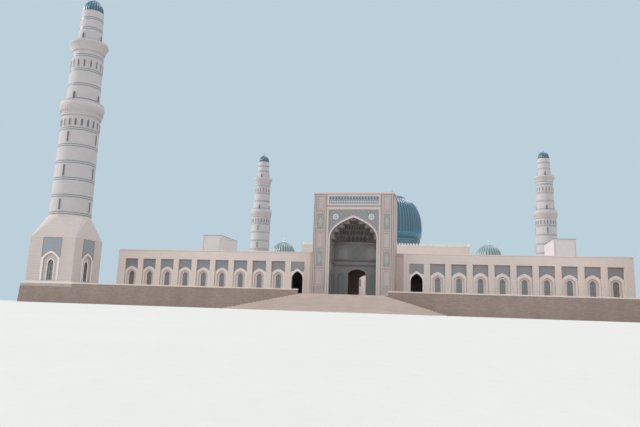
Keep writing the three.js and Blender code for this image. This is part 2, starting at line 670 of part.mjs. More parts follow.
function minaretBase() {
  const corners = [];
  for (const sx of [-1, 1]) {
    for (const sy of [-1, 1]) {
      for (const z of [PARAPET_Z, BASE_SHOULDER_Z]) {
        corners.push(new THREE.Vector3(sx * MINARET_BASE_HALF, sy * MINARET_BASE_HALF, z));
      }
    }
  }
  for (let i = 0; i < SHAFT_SIDES; i += 1) {
    const angle = (2 * Math.PI * i) / SHAFT_SIDES;
    const x = BASE_RING_RADIUS * Math.cos(angle);
    const y = BASE_RING_RADIUS * Math.sin(angle);
    corners.push(new THREE.Vector3(x, y, BASE_RING_Z));
  }
  const collarFoot = BASE_RING_Z - CUT_OVERRUN;
  const collar = lathe([
    [0, collarFoot],
    [COLLAR_RADIUS, collarFoot],
    [COLLAR_RADIUS, BASE_TOP_Z],
    [0, BASE_TOP_Z],
  ], SHAFT_SIDES);
  const plinth = box([-PLINTH_HALF, PLINTH_HALF], [-PLINTH_HALF, PLINTH_HALF], [TERRACE_Z, PLINTH_TOP_Z]);
  const mouldingSpan = [-MOULDING_HALF, MOULDING_HALF];
  const moulding = box(mouldingSpan, mouldingSpan, [PLINTH_TOP_Z, PARAPET_Z]);
  const cutters = [];
  for (let face = 0; face < 4; face += 1) {
    const niche = pushBack(pointedArch(0, BASE_NICHE), -CUT_OVERRUN, BASE_NICHE_DEPTH, ARCH_SEGMENTS);
    const window = pushBack(pointedArch(0, BASE_WINDOW), -CUT_OVERRUN, BASE_WINDOW_DEPTH, ARCH_SEGMENTS);
    for (const cutter of [niche, window]) {
      cutters.push(cutter.translate(0, -MINARET_BASE_HALF, 0).rotateZ((face * Math.PI) / 2));
    }
  }
  return cutAll(joinAll([new ConvexGeometry(corners), collar, moulding, plinth]), cutters);
}

function balconyProfile({ z, railZ, radius, walk }, topRadius) {
  const floor = railZ - 120;
  return [
    [topRadius, z],
    [topRadius + 22, z + 20],
    [radius - 16, z + 150],
    [radius, z + 215],
    [radius - 4, railZ - 50],
    [radius - 18, railZ],
    [radius - 36, railZ],
    [radius - 44, floor],
    [walk, floor],
  ];
}

function minaretShaft() {
  return lathe([
    [0, BASE_TOP_Z],
    [SHAFT_BOTTOM_RADIUS, BASE_TOP_Z],
    ...balconyProfile(LOWER_BALCONY, SHAFT_TOP_RADIUS),
    ...balconyProfile(UPPER_BALCONY, MIDDLE_TOP_RADIUS),
    [TOP_SHAFT_TOP_RADIUS, SHAFT_END_Z],
    [0, SHAFT_END_Z],
  ], SHAFT_SIDES);
}

function minaretCap() {
  const foot = 16;
  return lathe([
    [0, SHAFT_END_Z],
    ...ellipseArc(CAP_RADIUS, SHAFT_END_Z, CAP_TOP_Z - SHAFT_END_Z, foot, 5),
    ...finialProfile(foot, CAP_TOP_Z, CAP_FINIAL_TOP_Z).slice(2),
  ], CAP_SIDES);
}

const shaftGeometry = minaretShaft();
const capGeometry = minaretCap();
const baseGeometry = minaretBase();
for (const [row, y] of [['front', MINARET_FRONT_Y], ['back', MINARET_BACK_Y]]) {
  for (const [side, sign] of [['left', -1], ['right', 1]]) {
    const minaret = new THREE.Group();
    minaret.position.set(sign * MINARET_X, y, 0);
    minaret.add(node(`minaret_${row}_${side}_base`, baseGeometry.clone(), 'minaret'));
    minaret.add(node(`minaret_${row}_${side}_shaft`, shaftGeometry.clone(), 'minaret'));
    minaret.add(node(`minaret_${row}_${side}_cap`, capGeometry.clone(), 'dome'));
    mosque.add(minaret);
  }
}

// The origin is on the ground under the middle of the plan, stair included

const PLAN_FRONT_Y = PODIUM_FRONT_Y - PODIUM_BATTER - STAIR_TREAD * STAIR_STEPS;
const PLAN_BACK_Y = PODIUM_BACK_Y + PODIUM_BATTER;
mosque.position.y = -(PLAN_FRONT_Y + PLAN_BACK_Y) / 2;
mosque.name = 'mosque';

export default mosque;
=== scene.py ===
import math

import bmesh
import bpy
from mathutils import Matrix, Vector


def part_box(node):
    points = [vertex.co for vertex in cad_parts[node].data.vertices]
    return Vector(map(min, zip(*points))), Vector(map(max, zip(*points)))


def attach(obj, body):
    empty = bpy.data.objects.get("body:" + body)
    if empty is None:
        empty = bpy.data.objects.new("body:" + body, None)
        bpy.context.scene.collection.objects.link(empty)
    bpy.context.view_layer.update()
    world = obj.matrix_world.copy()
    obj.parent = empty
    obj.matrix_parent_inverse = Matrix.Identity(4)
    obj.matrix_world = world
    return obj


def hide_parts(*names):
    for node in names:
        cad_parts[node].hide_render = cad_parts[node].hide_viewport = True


# Mosque on a walled podium, a model at 1:10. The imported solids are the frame. This script gives
# them their finishes and adds the fine parts. Drawings are in millimetres from the middle of the
# wings' front face, X along the front and Y to the back, and become metres in the frame.

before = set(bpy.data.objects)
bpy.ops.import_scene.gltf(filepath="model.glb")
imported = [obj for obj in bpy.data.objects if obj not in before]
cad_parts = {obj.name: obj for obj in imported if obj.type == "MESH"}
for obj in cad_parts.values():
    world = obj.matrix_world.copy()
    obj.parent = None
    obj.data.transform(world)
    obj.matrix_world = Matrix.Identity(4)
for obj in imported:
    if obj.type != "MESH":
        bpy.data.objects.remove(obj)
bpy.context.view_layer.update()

MM = 0.001
FRONT_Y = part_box("front_wall_left")[0].y
SINK = 1.5

# Plan and levels
BAY = 420
TERRACE_Z = 310
PARAPET_Z = 390
ROOF_Z = 1160
RANGE_TOP_Z = 1224
HALL_ROOF_Z = 2010
HALL_TOP_Z = 2085
RANGE_HALF = 5346
RANGE_DEPTH = 11424
HALL_HALF = 2604
HALL_FRONT_Y = 6468
COURT_FRONT_Y = 2100
COURT_FACE_X = 2514
RECESS = 40
NICHE_DEPTH = 66

# Portal
PORTAL_HALF = 815
PORTAL_FRONT_Y = -551
PORTAL_BACK_Y = 272
PORTAL_TOP_Z = 2395
CORNICE_Z = 2352
IWAN_HALF = 475
IWAN_SPRING_Z = 1459
IWAN_APEX_Z = 1886
IWAN_BACK_Y = 150
VAULT_FRONT_Y = -431
LINK_HALF = 979

# Domes
DOME_Y = 9702
SMALL_DOME_X = 3125
SMALL_DOME_Y = 6150
SMALL_DOME_RADIUS = 378
SMALL_DRUM_RADIUS = 355
SMALL_DRUM_TOP_Z = 1710
SMALL_DOME_TOP_Z = 2104
SMALL_FINIAL_TOP_Z = 2232
PAVILION_X = (4751, 5335)
PAVILION_Y = (4918, 6454)
PAVILION_TOP_Z = 2151

# Minarets
MINARET_X = 5833
MINARET_FRONT_Y = -1261
MINARET_BACK_Y = 12679
BASE_HALF = 498
PLINTH_TOP_Z = 360
MOULDING_HALF = 505
BASE_NICHE_DEPTH = 30
COLLAR_RADIUS = 419
BASE_TOP_Z = 1814
SHAFT_END_Z = 6305
SHAFT_RUNS = (((1814, 412), (3860, 390)), ((4065, 344), (5330, 321)), ((5470, 260), (6305, 229)))

ARCH_SHOULDER = 0.6
SIDES = (("left", -1), ("right", 1))


# Drawing

class Draft:
    """Points and faces of a shape, in millimetres."""

    def __init__(self, points=(), faces=(), smooth=False):
        self.points = list(points)
        self.faces = [list(face) for face in faces]
        self.smooth = [smooth] * len(self.faces)

    def join(self, *others):
        for other in others:
            start = len(self.points)
            self.points += other.points
            self.faces += [[start + corner for corner in face] for face in other.faces]
            self.smooth += other.smooth
        return self

    def mapped(self, rule):
        """A copy with each point where the rule puts it."""
        copy = Draft().join(self)
        copy.points = [rule(*point) for point in self.points]
        return copy

    def moved(self, x=0, y=0):
        return self.mapped(lambda a, b, c: (a + x, b + y, c))

    def mesh(self):
        mesh = bpy.data.meshes.new("draft")
        mesh.from_pydata([tuple(value * MM for value in point) for point in self.points], [], self.faces)
        mesh.polygons.foreach_set("use_smooth", self.smooth)
        return mesh


def block(x, y, z):
    points = [(a, b, c) for a in x for b in y for c in z]
    faces = [(0, 1, 3, 2), (4, 6, 7, 5), (0, 4, 5, 1), (2, 3, 7, 6), (0, 2, 6, 4), (1, 5, 7, 3)]
    return Draft(points, faces)


def plate(outline, front, back):
    """An outline in X and Z, as thick as front to back."""
    count = len(outline)
    points = [(x, y, z) for y in (front, back) for x, z in outline]
    sides = [(i, count + i, count + (i + 1) % count, (i + 1) % count) for i in range(count)]
    return Draft(points, [range(count), range(2 * count - 1, count - 1, -1), *sides])


def band(inner, outer, front, back, closed=False):
    """A flat band between two lines with as many points each."""
    count = len(inner)
    points, faces = [], []
    for (ax, az), (bx, bz) in zip(inner, outer):
        points += [(ax, front, az), (bx, front, bz), (bx, back, bz), (ax, back, az)]
    for i in range(count if closed else count - 1):
        start, end = 4 * i, 4 * ((i + 1) % count)
        for k in range(4):
            m = (k + 1) % 4
            faces.append((start + k, start + m, end + m, end + k))
    if not closed:
        faces += [range(4), range(4 * count - 1, 4 * count - 5, -1)]
    return Draft(points, faces)


def rectangle(half, z0, z1, x=0):
    return [(x + half, z0), (x + half, z1), (x - half, z1), (x - half, z0)]


def frame_band(half, z0, z1, width, front, back=SINK, x=0):
    """A rectangular frame of one width round an opening."""
    outer = rectangle(half + width, z0 - width, z1 + width, x)
    return band(rectangle(half, z0, z1, x), outer, front, back, closed=True)


def arch_side(half, spring, apex, start, steps):
    """Half of a pointed arch, from its right side to the apex. Start is 0 at the springing."""
    rise = apex - spring
    line = []
    for i in range(steps + 1):
        t = start + (1 - start) * i / steps
        height = 2 * t * (1 - t) * ARCH_SHOULDER * rise + t * t * rise
        line.append((half * (1 - t * t), spring + height))
    return line


def arch_line(half, spring, apex, foot, steps):
    """A pointed arch from its right foot over the apex to its left foot."""
    side = arch_side(half, spring, apex, 0, steps)
    left = [(-x, z) for x, z in reversed(side[:-1])]
    return [(half, foot), *side, *left, (-half, foot)]


def arch_band(inside, outside, foot, front, back=SINK, steps=6):
    return band(arch_line(*inside, foot, steps), arch_line(*outside, foot, steps), front, back)


def grown_arch(arch, by):
    half, spring, apex = arch
    return half + by, spring, apex + by * 1.15


def arch_edge(arch, width, foot, front, back=SINK, steps=6):
    """A band of one width along a pointed arch."""
    return arch_band(arch, grown_arch(arch, width), foot, front, back, steps)


def arched_plate(arch, foot, front, back=SINK, steps=5):
    return plate(arch_line(*arch, foot, steps), front, back)


def spandrel_line(half, top, arch, foot, steps):
    """The outline of a panel that rests on a pointed arch and stops at its foot."""
    arch_half, spring, apex = arch
    bend = 2 * ARCH_SHOULDER
    share = (foot - spring) / (apex - spring)
    start = (bend - math.sqrt(bend * bend - 4 * (bend - 1) * share)) / (2 * (bend - 1))
    side = arch_side(arch_half, spring, apex, start, steps)
    left = [(-x, z) for x, z in side]
    return [(half, foot), (half, top), (-half, top), (-half, foot), *left, *reversed(side[:-1])]


def lathe(profile, sides, smooth=True):
    """A turned shape from radius and height pairs: from axis to axis, or a ring."""
    points, rows, faces = [], [], []
    turns = [2 * math.pi * i / sides for i in range(sides)]
    for radius, z in profile:
        start = len(points)
        if radius == 0:
            points.append((0, 0, z))
            rows.append([start] * sides)
        else:
            points += [(radius * math.cos(turn), radius * math.sin(turn), z) for turn in turns]
            rows.append(range(start, start + sides))
    ring = profile[0][0] > 0 and profile[-1][0] > 0
    for a, b in zip(rows, rows[1:] + rows[:1] if ring else rows[1:]):
        for i in range(sides):
            corners = [a[i - 1], a[i], b[i], b[i - 1]]
            face = [corner for k, corner in enumerate(corners) if corner != corners[k - 1]]
            if len(face) > 2:
                faces.append(face)
    return Draft(points, faces, smooth)


def held(profile, margin=3, longest=60):
    """The profile with a ring near each end of its long runs, so that smooth shading stays even."""
    line = [profile[0]]
    for a, b in zip(profile, profile[1:]):
        length = math.dist(a, b)
        if length > longest:
            for share in (margin / length, 1 - margin / length):
                line.append(tuple(p + (q - p) * share for p, q in zip(a, b)))
        line.append(b)
    return line


def hoop(inner, outer, z0, z1, sides=48):
    return lathe([(inner, z0), (outer, z0), (outer, z1), (inner, z1)], sides, smooth=False)


def ledge(wide, deep, width, z0, z1):
    """A rectangular ring from its outer half sizes, as wide as given."""
    inner, outer = (rectangle(wide - inset, inset - deep, deep - inset) for inset in (width, 0))
    return band(inner, outer, z0, z1, closed=True).mapped(lambda x, y, z: (x, z, y))


def fin(outline, half):
    """An outline in radius and Z, drawn towards the front and as wide as twice half."""
    return plate(outline, -half, half).mapped(lambda radius, x, z: (x, -radius, z))


def star(x, z, size, front, back):
    """An eight-pointed star of two squares."""
    outline = []
    for i in range(16):
        reach = size if i % 2 == 0 else size * 0.765
        angle = math.pi * i / 8
        outline.append((x + reach * math.cos(angle), z + reach * math.sin(angle)))
    return plate(outline, front, back)


# Nodes

class Bench:
    """Adds nodes to a tree and wires them."""

    def __init__(self, tree):
        self.tree = tree

    def feed(self, socket, value):
        if isinstance(value, bpy.types.NodeSocket):
            self.tree.links.new(value, socket)
        else:
            socket.default_value = value

    def add(self, kind, inputs=None, **settings):
        node = self.tree.nodes.new(kind)
        for name, value in settings.items():
            setattr(node, name, value)
        for name, value in (inputs or {}).items():
            self.feed(node.inputs[name], value)
        return node

    def one(self, kind, inputs=None, **settings):
        """The first output of a new node."""
        return self.add(kind, inputs, **settings).outputs[0]

    def math(self, operation, result, *others):
        """The values taken together, from left to right."""
        for value in others or [0.0]:
            result = self.one("ShaderNodeMath", {0: result, 1: value}, operation=operation)
        return result

    def times(self, *values):
        return self.math("MULTIPLY", *values)

    def switch(self, share, first, second):
        return self.one("ShaderNodeMix", {0: share, 2: first, 3: second}, data_type="FLOAT")

    def mix(self, share, first, second):
        return self.add("ShaderNodeMix", {0: share, 6: first, 7: second}, data_type="RGBA").outputs[2]

    def use(self, group, **inputs):
        named = {name.replace("_", " "): value for name, value in inputs.items()}
        return self.add("ShaderNodeGroup", named, node_tree=group).outputs

    def place(self):
        return self.add("ShaderNodeTexCoord").outputs["Object"]

    def facing(self):
        return self.add("ShaderNodeNewGeometry").outputs["True Normal"]

    def parts(self, vector):
        return self.add("ShaderNodeSeparateXYZ", {0: vector}).outputs


def new_tree(name, kind, inputs, outputs, fill):
    """A node tree that is filled by a function, from its inputs to a dictionary of its outputs."""
    tree = bpy.data.node_groups.new(name, kind)
    for side, sockets in (("INPUT", inputs), ("OUTPUT", outputs)):
        for socket_name, socket_kind in sockets.items():
            tree.interface.new_socket(socket_name, in_out=side, socket_type="NodeSocket" + socket_kind)
    bench = Bench(tree)
    given, result = bench.add("NodeGroupInput").outputs, bench.add("NodeGroupOutput").inputs
    for socket_name, value in fill(bench, given).items():
        bench.feed(result[socket_name], value)
    return tree


# Geometry Nodes trees: copies in a run, and ribs

def shape_tree(name, inputs, shape_of):
    """A tree that realizes the instances of a shape and sets its finish."""
    def fill(bench, given):
        real = bench.one("GeometryNodeRealizeInstances", {0: shape_of(bench, given)})
        settings = {"Geometry": real, "Material": given["Finish"]}
        return {"Geometry": bench.one("GeometryNodeSetMaterial", settings)}
    inputs = {**inputs, "Finish": "Material"}
    return new_tree(name, "GeometryNodeTree", inputs, {"Geometry": "Geometry"}, fill)


def run_shape(bench, given):
    """Copies of a unit, each one moved and turned on from the one before."""
    line = bench.one("GeometryNodeMeshLine", {
        "Count": given["Count"], "Start Location": given["Start"], "Offset": given["Step"],
    })
    index = bench.one("GeometryNodeInputIndex")
    angle = bench.math("ADD", bench.times(index, given["Turn Step"]), given["Turn"])
    turn = bench.one("FunctionNodeEulerToRotation", {0: bench.one("ShaderNodeCombineXYZ", {"Z": angle})})
    return bench.one("GeometryNodeInstanceOnPoints", {
        "Points": line, "Instance": given["Unit"], "Rotation": turn,
    })


def rib_shape(bench, given):
    """Presses round ribs into a turned surface and keeps how deep each point lies in a groove."""
    x, y, z = bench.parts(bench.one("GeometryNodeInputPosition"))
    flat = bench.one("ShaderNodeCombineXYZ", {"X": x, "Y": y})
    radius = bench.add("ShaderNodeVectorMath", {0: flat}, operation="LENGTH").outputs["Value"]
    wave = bench.math("SINE", bench.times(bench.math("ARCTAN2", y, x), given["Ribs"], 0.5))
    risen = bench.math("GREATER_THAN", z, given["Foot Height"])
    groove = bench.times(bench.math("SUBTRACT", 1.0, bench.math("ABSOLUTE", wave)), risen)
    fade = bench.math("MINIMUM", bench.math("DIVIDE", radius, given["Fade Radius"]), 1.0)
    press = bench.times(groove, fade, given["Depth"], -1.0)
    share = bench.math("DIVIDE", press, bench.math("MAXIMUM", radius, 0.0001))
    inward = bench.one("ShaderNodeVectorMath", {0: flat, 3: share}, operation="SCALE")
    kept = bench.one("GeometryNodeStoreNamedAttribute", {
        "Geometry": given["Surface"], "Name": "groove", "Value": groove,
    }, data_type="FLOAT", domain="POINT")
    pressed = bench.one("GeometryNodeSetPosition", {"Geometry": kept, "Offset": inward})
    return bench.one("GeometryNodeSetPosition", {"Geometry": pressed, "Offset": given["Centre"]})


IN_A_RUN = shape_tree("pieces_in_a_run", {
    "Unit": "Geometry", "Count": "Int", "Start": "Vector", "Step": "Vector", "Turn": "Float",
    "Turn Step": "Float",
}, run_shape)
RIBBED = shape_tree("ribs_round_a_dome", {
    "Surface": "Geometry", "Ribs": "Int", "Depth": "Float", "Fade Radius": "Float",
    "Foot Height": "Float", "Centre": "Vector",
}, rib_shape)


def shown(name, data):
    """A new object of the scene."""
    item = bpy.data.objects.new(name, data)
    bpy.context.scene.collection.objects.link(item)
    return item


def grown(draft, tree, settings):
    """The plain mesh that a tree makes of a drawn unit."""
    maker = shown("maker", draft.mesh())
    modifier = maker.modifiers.new("maker", "NODES")
    modifier.node_group = tree
    for socket in tree.interface.items_tree:
        if socket.in_out == "INPUT" and socket.name in settings:
            modifier[socket.identifier] = settings[socket.name]
    ready = maker.evaluated_get(bpy.context.evaluated_depsgraph_get())
    mesh = bpy.data.meshes.new_from_object(ready)
    drawn = maker.data
    bpy.data.objects.remove(maker)
    bpy.data.meshes.remove(drawn)
    return mesh


# Shader groups: the plane of a face, block joints, weathering, and a lattice of stars

def shader_group(inputs, outputs):
    """Turns the function that fills a group of float sockets into the group of its name."""
    sockets = [{socket: "Float" for socket in row} for row in (inputs, outputs)]
    return lambda fill: new_tree(fill.__name__, "ShaderNodeTree", *sockets, fill)


@shader_group((), ("U", "V"))
def face_plane(bench, given):
    x, y, z = bench.parts(bench.place())
    nx, ny, nz = (bench.math("ABSOLUTE", n) for n in bench.parts(bench.facing()))
    flat = bench.math("GREATER_THAN", nz, 0.7)
    along = bench.switch(bench.math("GREATER_THAN", nx, ny), x, y)
    return {"U": bench.switch(flat, along, x), "V": bench.switch(flat, z, y)}


@shader_group(("Width", "Height", "Joint"), ("Joint", "Tone"))
def block_joints(bench, given):
    plane = bench.use(face_plane)
    bricks = bench.add("ShaderNodeTexBrick", {
        "Vector": bench.one("ShaderNodeCombineXYZ", {"X": plane["U"], "Y": plane["V"]}),
        "Color1": (0, 0, 0, 1), "Color2": (1, 1, 1, 1), "Mortar": (0.5, 0.5, 0.5, 1), "Scale": 1.0,
        "Mortar Size": given["Joint"], "Mortar Smooth": 0.2, "Bias": 0.0,
        "Brick Width": given["Width"], "Row Height": given["Height"],
    }).outputs
    return {"Joint": bricks["Fac"], "Tone": bricks["Color"]}


@shader_group(("Patch Size", "Grain Size"), ("Patches", "Streaks", "Grain"))
def weathering(bench, given):
    place = bench.place()
    tall = bench.one("ShaderNodeMapping", {"Vector": place, "Scale": (1.0, 1.0, 0.12)})
    patch_scale = bench.math("DIVIDE", 1.0, given["Patch Size"])
    grain_scale = bench.math("DIVIDE", 1.0, given["Grain Size"])
    return {
        name: bench.one("ShaderNodeTexNoise", {"Vector": vector, "Scale": scale, "Detail": detail})
        for name, vector, scale, detail in (
            ("Patches", place, patch_scale, 4.0),
            ("Streaks", tall, bench.times(patch_scale, 4.0), 3.0),
            ("Grain", place, grain_scale, 2.0),
        )
    }


@shader_group(("Pitch", "Line"), ("Lines", "Stars"))
def star_lattice(bench, given):
    plane = bench.use(face_plane)
    u, v = (bench.math("DIVIDE", plane[axis], given["Pitch"]) for axis in "UV")

    def from_middle(value):
        return bench.math("ABSOLUTE", bench.math("SUBTRACT", bench.math("FRACT", value), 0.5))

    level, upright = from_middle(u), from_middle(v)
    slants = [from_middle(bench.times(bench.math(sign, u, v), 0.5)) for sign in ("ADD", "SUBTRACT")]
    nearest = bench.math("MAXIMUM", level, upright, *slants)
    edge = bench.math("SUBTRACT", 0.5, given["Line"])
    return {
        "Lines": bench.math("GREATER_THAN", nearest, edge),
        "Stars": bench.math("LESS_THAN", bench.math("ADD", level, upright), 0.24),
    }


# Finishes. Colours are given from 0 to 255.

def tint(colour):
    """A colour as a shader takes it."""
    levels = []
    for value in colour:
        level = value / 255
        levels.append(level / 12.92 if level <= 0.04045 else ((level + 0.055) / 1.055) ** 2.4)
    return (*levels, 1)


class Finish(Bench):
    """A new material, with its nodes and its shader."""

    def __init__(self, name, **fixed):
        self.material = bpy.data.materials.new(name)
        self.material.use_nodes = True
        super().__init__(self.material.node_tree)
        self.shader = self.tree.nodes["Principled BSDF"]
        for socket, value in fixed.items():
            self.shader.inputs[socket.replace("_", " ")].default_value = value

    def done(self, shade, grain, roughness, spread, relief, depth):
        """The material, with its colour, a roughness that varies with the grain, and its relief."""
        rough = self.math("ADD", self.times(grain, spread), roughness - spread / 2)
        bump = self.one("ShaderNodeBump", {"Height": relief, "Strength": 1.0, "Distance": depth})
        for name, value in (("Base Color", shade), ("Roughness", rough), ("Normal", bump)):
            self.feed(self.shader.inputs[name], value)
        return self.material


def stone_layer(bench, colour, worn, joint, blocks, contrast):
    """The colour, grain and relief of slabs or blocks: patches, streaks and a tone for each."""
    colour, worn, joint = (tint(shade) for shade in (colour, worn, joint))
    wear = bench.use(weathering, Patch_Size=0.9, Grain_Size=0.006)
    width, height, gap = blocks
    joints = bench.use(block_joints, Width=width, Height=height, Joint=gap)
    soiled = bench.times(wear["Patches"], wear["Streaks"], 1.6, contrast * 2)
    shade = bench.mix(soiled, colour, worn)
    shade = bench.mix(bench.times(joints["Tone"], contrast), shade, worn)
    shade = bench.mix(bench.times(joints["Joint"], 0.6), shade, joint)
    relief = bench.math("SUBTRACT", bench.times(wear["Grain"], 0.35), joints["Joint"])
    return shade, wear["Grain"], relief


def stone(name, layer, roughness=0.8, depth=0.0012, other=None, where=None):
    """Stone in one layer, or in two that meet at the edge of a mask."""
    bench = Finish(name)
    shade, grain, relief = stone_layer(bench, *layer)
    if other:
        share = where(bench)
        second, _, second_relief = stone_layer(bench, *other)
        shade = bench.mix(share, shade, second)
        relief = bench.switch(share, relief, second_relief)
    return bench.done(shade, grain, roughness, 0.16, relief, depth)


def above(height):
    """A mask of what lies above a height in millimetres."""
    return lambda bench: bench.math("GREATER_THAN", bench.parts(bench.place())["Z"], height * MM)


def lying(bench):
    """A mask of the faces that look up."""
    return bench.math("GREATER_THAN", bench.parts(bench.facing())["Z"], 0.9)


def tiles(name, ground, lines, stars, pitch, roughness=0.35, share=0.8):
    """Glazed tiles with a lattice of stars."""
    bench = Finish(name, Coat_Weight=0.25, Coat_Roughness=0.15)
    ground, lines, stars = (tint(shade) for shade in (ground, lines, stars))
    lattice = bench.use(star_lattice, Pitch=pitch, Line=0.07)
    wear = bench.use(weathering, Patch_Size=0.35, Grain_Size=0.01)
    shade = bench.mix(bench.times(wear["Patches"], 0.5), ground, stars)
    shade = bench.mix(bench.times(lattice["Stars"], share), shade, stars)
    shade = bench.mix(bench.times(lattice["Lines"], share), shade, lines)
    return bench.done(shade, wear["Grain"], roughness, 0.2, lattice["Lines"], 0.0006)


def plain(name, colour, worn, roughness, grain=0.01, relief=0.0004, **fixed):
    """One colour with patches, grain and a fine relief."""
    bench = Finish(name, **fixed)
    wear = bench.use(weathering, Patch_Size=0.3, Grain_Size=grain)
    soiled = bench.times(bench.math("ADD", wear["Patches"], wear["Streaks"]), 0.35)
    shade = bench.mix(soiled, tint(colour), tint(worn))
    return bench.done(shade, wear["Grain"], roughness, 0.18, wear["Grain"], relief)


def dome_glaze(name, rib, groove, roughness, sharpness, coat):
    """Glazed tiles of a ribbed dome: darker in the grooves, partly the glaze's own darker tone and partly
    painted shade, with a fine course joint.
    """
    bench = Finish(name, Coat_Weight=coat, Coat_Roughness=0.14)
    rib, groove = tint(rib), tint(groove)
    deep = bench.add("ShaderNodeAttribute", attribute_name="groove").outputs["Fac"]
    wear = bench.use(weathering, Patch_Size=0.5, Grain_Size=0.02)
    course = bench.math("FRACT", bench.math("DIVIDE", bench.parts(bench.place())["Z"], 0.045))
    joint = bench.math("LESS_THAN", course, 0.08)
    # Darker with groove depth: painted shade in the grooves, over the darker glaze there.
    shade = bench.mix(bench.math("POWER", deep, sharpness), rib, groove)
    for mask in (wear["Patches"], joint):
        shade = bench.mix(bench.times(mask, 0.35), shade, groove)
    relief = bench.math("SUBTRACT", wear["Grain"], joint)
    return bench.done(shade, wear["Grain"], roughness, 0.16, relief, 0.0008)


# Each layer: colour, worn colour, joint colour, block width, height and joint in metres, contrast
WALL_SLABS = ((222, 205, 197), (202, 185, 177), (182, 166, 159), (0.095, 0.063, 0.0008), 0.16)
BASE_SLABS = ((200, 186, 180), (182, 168, 162), (156, 143, 137), (0.09, 0.05, 0.0008), 0.2)
SHAFT_SLABS = ((190, 182, 181), (173, 165, 164), (153, 145, 143), (0.09, 0.05, 0.0007), 0.18)
PAVILION_SLABS = ((216, 205, 203), (197, 186, 184), (164, 154, 151), (0.095, 0.063, 0.0009), 0.22)
PODIUM_BLOCKS = ((160, 140, 130), (124, 108, 99), (106, 92, 84), (0.06, 0.03, 0.0014), 0.42)
PLINTH_BLOCKS = ((184, 169, 162), (154, 140, 133), (128, 115, 109), (0.06, 0.03, 0.0014), 0.36)
PAVING = ((196, 184, 172), (160, 148, 137), (124, 114, 106), (0.06, 0.06, 0.0012), 0.25)
COPING = ((224, 209, 200), (200, 185, 176), (150, 137, 129), (0.12, 0.06, 0.001), 0.2)
STEPS = ((206, 188, 178), (174, 156, 146), (132, 118, 107), (0.14, 0.0155, 0.0008), 0.35)
PORTAL_SLABS = ((186, 170, 165), (164, 147, 142), (143, 126, 121), (0.08, 0.05, 0.0008), 0.22)
LINK_SLABS = ((204, 183, 174), (180, 160, 152), (150, 132, 124), (0.08, 0.05, 0.0008), 0.22)
VAULT_SLABS = ((156, 152, 152), (130, 126, 127), (102, 98, 98), (0.05, 0.05, 0.0009), 0.25)
SCREED = ((190, 183, 172), (160, 153, 143), (130, 124, 116), (0.3, 0.3, 0.002), 0.3)

wall_stone = stone("wall_stone", WALL_SLABS)
pavilion_stone = stone("pavilion_stone", PAVILION_SLABS)
shaft_stone = stone("shaft_stone", SHAFT_SLABS)
base_stone = stone("base_stone", PLINTH_BLOCKS, 0.8, 0.0016, BASE_SLABS, above(PLINTH_TOP_Z - 1))
podium_paved = stone("podium_paved", PODIUM_BLOCKS, 0.88, 0.002, PAVING, lying)
parapet_stone = stone("parapet_stone", PODIUM_BLOCKS, 0.88, 0.002, COPING, above(368))
stair_stone = stone("stair_stone", STEPS)
portal_stone = stone("portal_stone", PORTAL_SLABS)
link_stone = stone("link_stone", LINK_SLABS)
vault_stone = stone("vault_stone", VAULT_SLABS)
roof_screed = stone("roof_screed", SCREED, 0.92)
light_stone = plain("light_stone", (232, 219, 213), (206, 192, 186), 0.7)
frame_stone = plain("frame_stone", (212, 196, 191), (188, 172, 167), 0.7)
rose_stone = plain("rose_stone", (222, 205, 201), (194, 175, 171), 0.65)
red_stone = plain("red_stone", (180, 154, 153), (156, 130, 129), 0.6)
white_stone = plain("white_stone", (236, 230, 226), (208, 201, 196), 0.6)
brown_border = plain("brown_border", (146, 131, 127), (118, 104, 101), 0.5)
link_band = plain("link_band", (190, 171, 163), (162, 145, 138), 0.7)
cream_stone = plain("cream_stone", (238, 228, 216), (210, 199, 186), 0.7)
vault_trim = plain("vault_trim", (166, 154, 148), (132, 122, 118), 0.6)
cell_plaster = plain("cell_plaster", (162, 149, 143), (124, 114, 110), 0.7)
# Dark grey of the vault cells' hollows: painted shade, not the plaster's own colour.
cell_shade = plain("cell_shade", (84, 80, 82), (64, 60, 63), 0.8)
grey_tiles = tiles("grey_tiles", (131, 129, 131), (150, 147, 147), (112, 118, 127), 0.034)
base_tiles = tiles("base_tiles", (134, 138, 144), (154, 156, 158), (116, 124, 134), 0.034)
spandrel_tiles = tiles("spandrel_tiles", (130, 129, 128), (156, 151, 146), (112, 116, 117), 0.05, share=0.7)
band_tiles = tiles("band_tiles", (112, 120, 128), (140, 148, 156), (96, 106, 118), 0.03)
blue_tiles = tiles("blue_tiles", (134, 143, 155), (154, 161, 171), (116, 128, 142), 0.022)
green_tiles = tiles("green_tiles", (141, 144, 138), (164, 163, 156), (128, 135, 131), 0.03, share=0.6)
mauve_tiles = tiles("mauve_tiles", (176, 159, 155), (190, 174, 169), (162, 146, 143), 0.03, share=0.5)
dark_tiles = tiles("dark_tiles", (112, 116, 114), (132, 134, 130), (98, 106, 106), 0.04, roughness=0.5)
drum_tiles = tiles("drum_tiles", (66, 104, 120), (86, 122, 136), (50, 86, 104), 0.06)
pale_inlay = plain("pale_inlay", (206, 206, 202), (176, 178, 175), 0.4)
diamond_inlay = plain("diamond_inlay", (176, 176, 168), (154, 157, 150), 0.45)
drum_inlay = plain("drum_inlay", (112, 150, 160), (88, 126, 138), 0.35, Coat_Weight=0.3)
frieze_ground = plain("frieze_ground", (160, 165, 171), (142, 148, 155), 0.45)
frieze_leaf = plain("frieze_leaf", (98, 106, 108), (80, 88, 91), 0.4)
green_glaze = plain("green_glaze", (108, 124, 126), (84, 101, 104), 0.35, Coat_Weight=0.3)
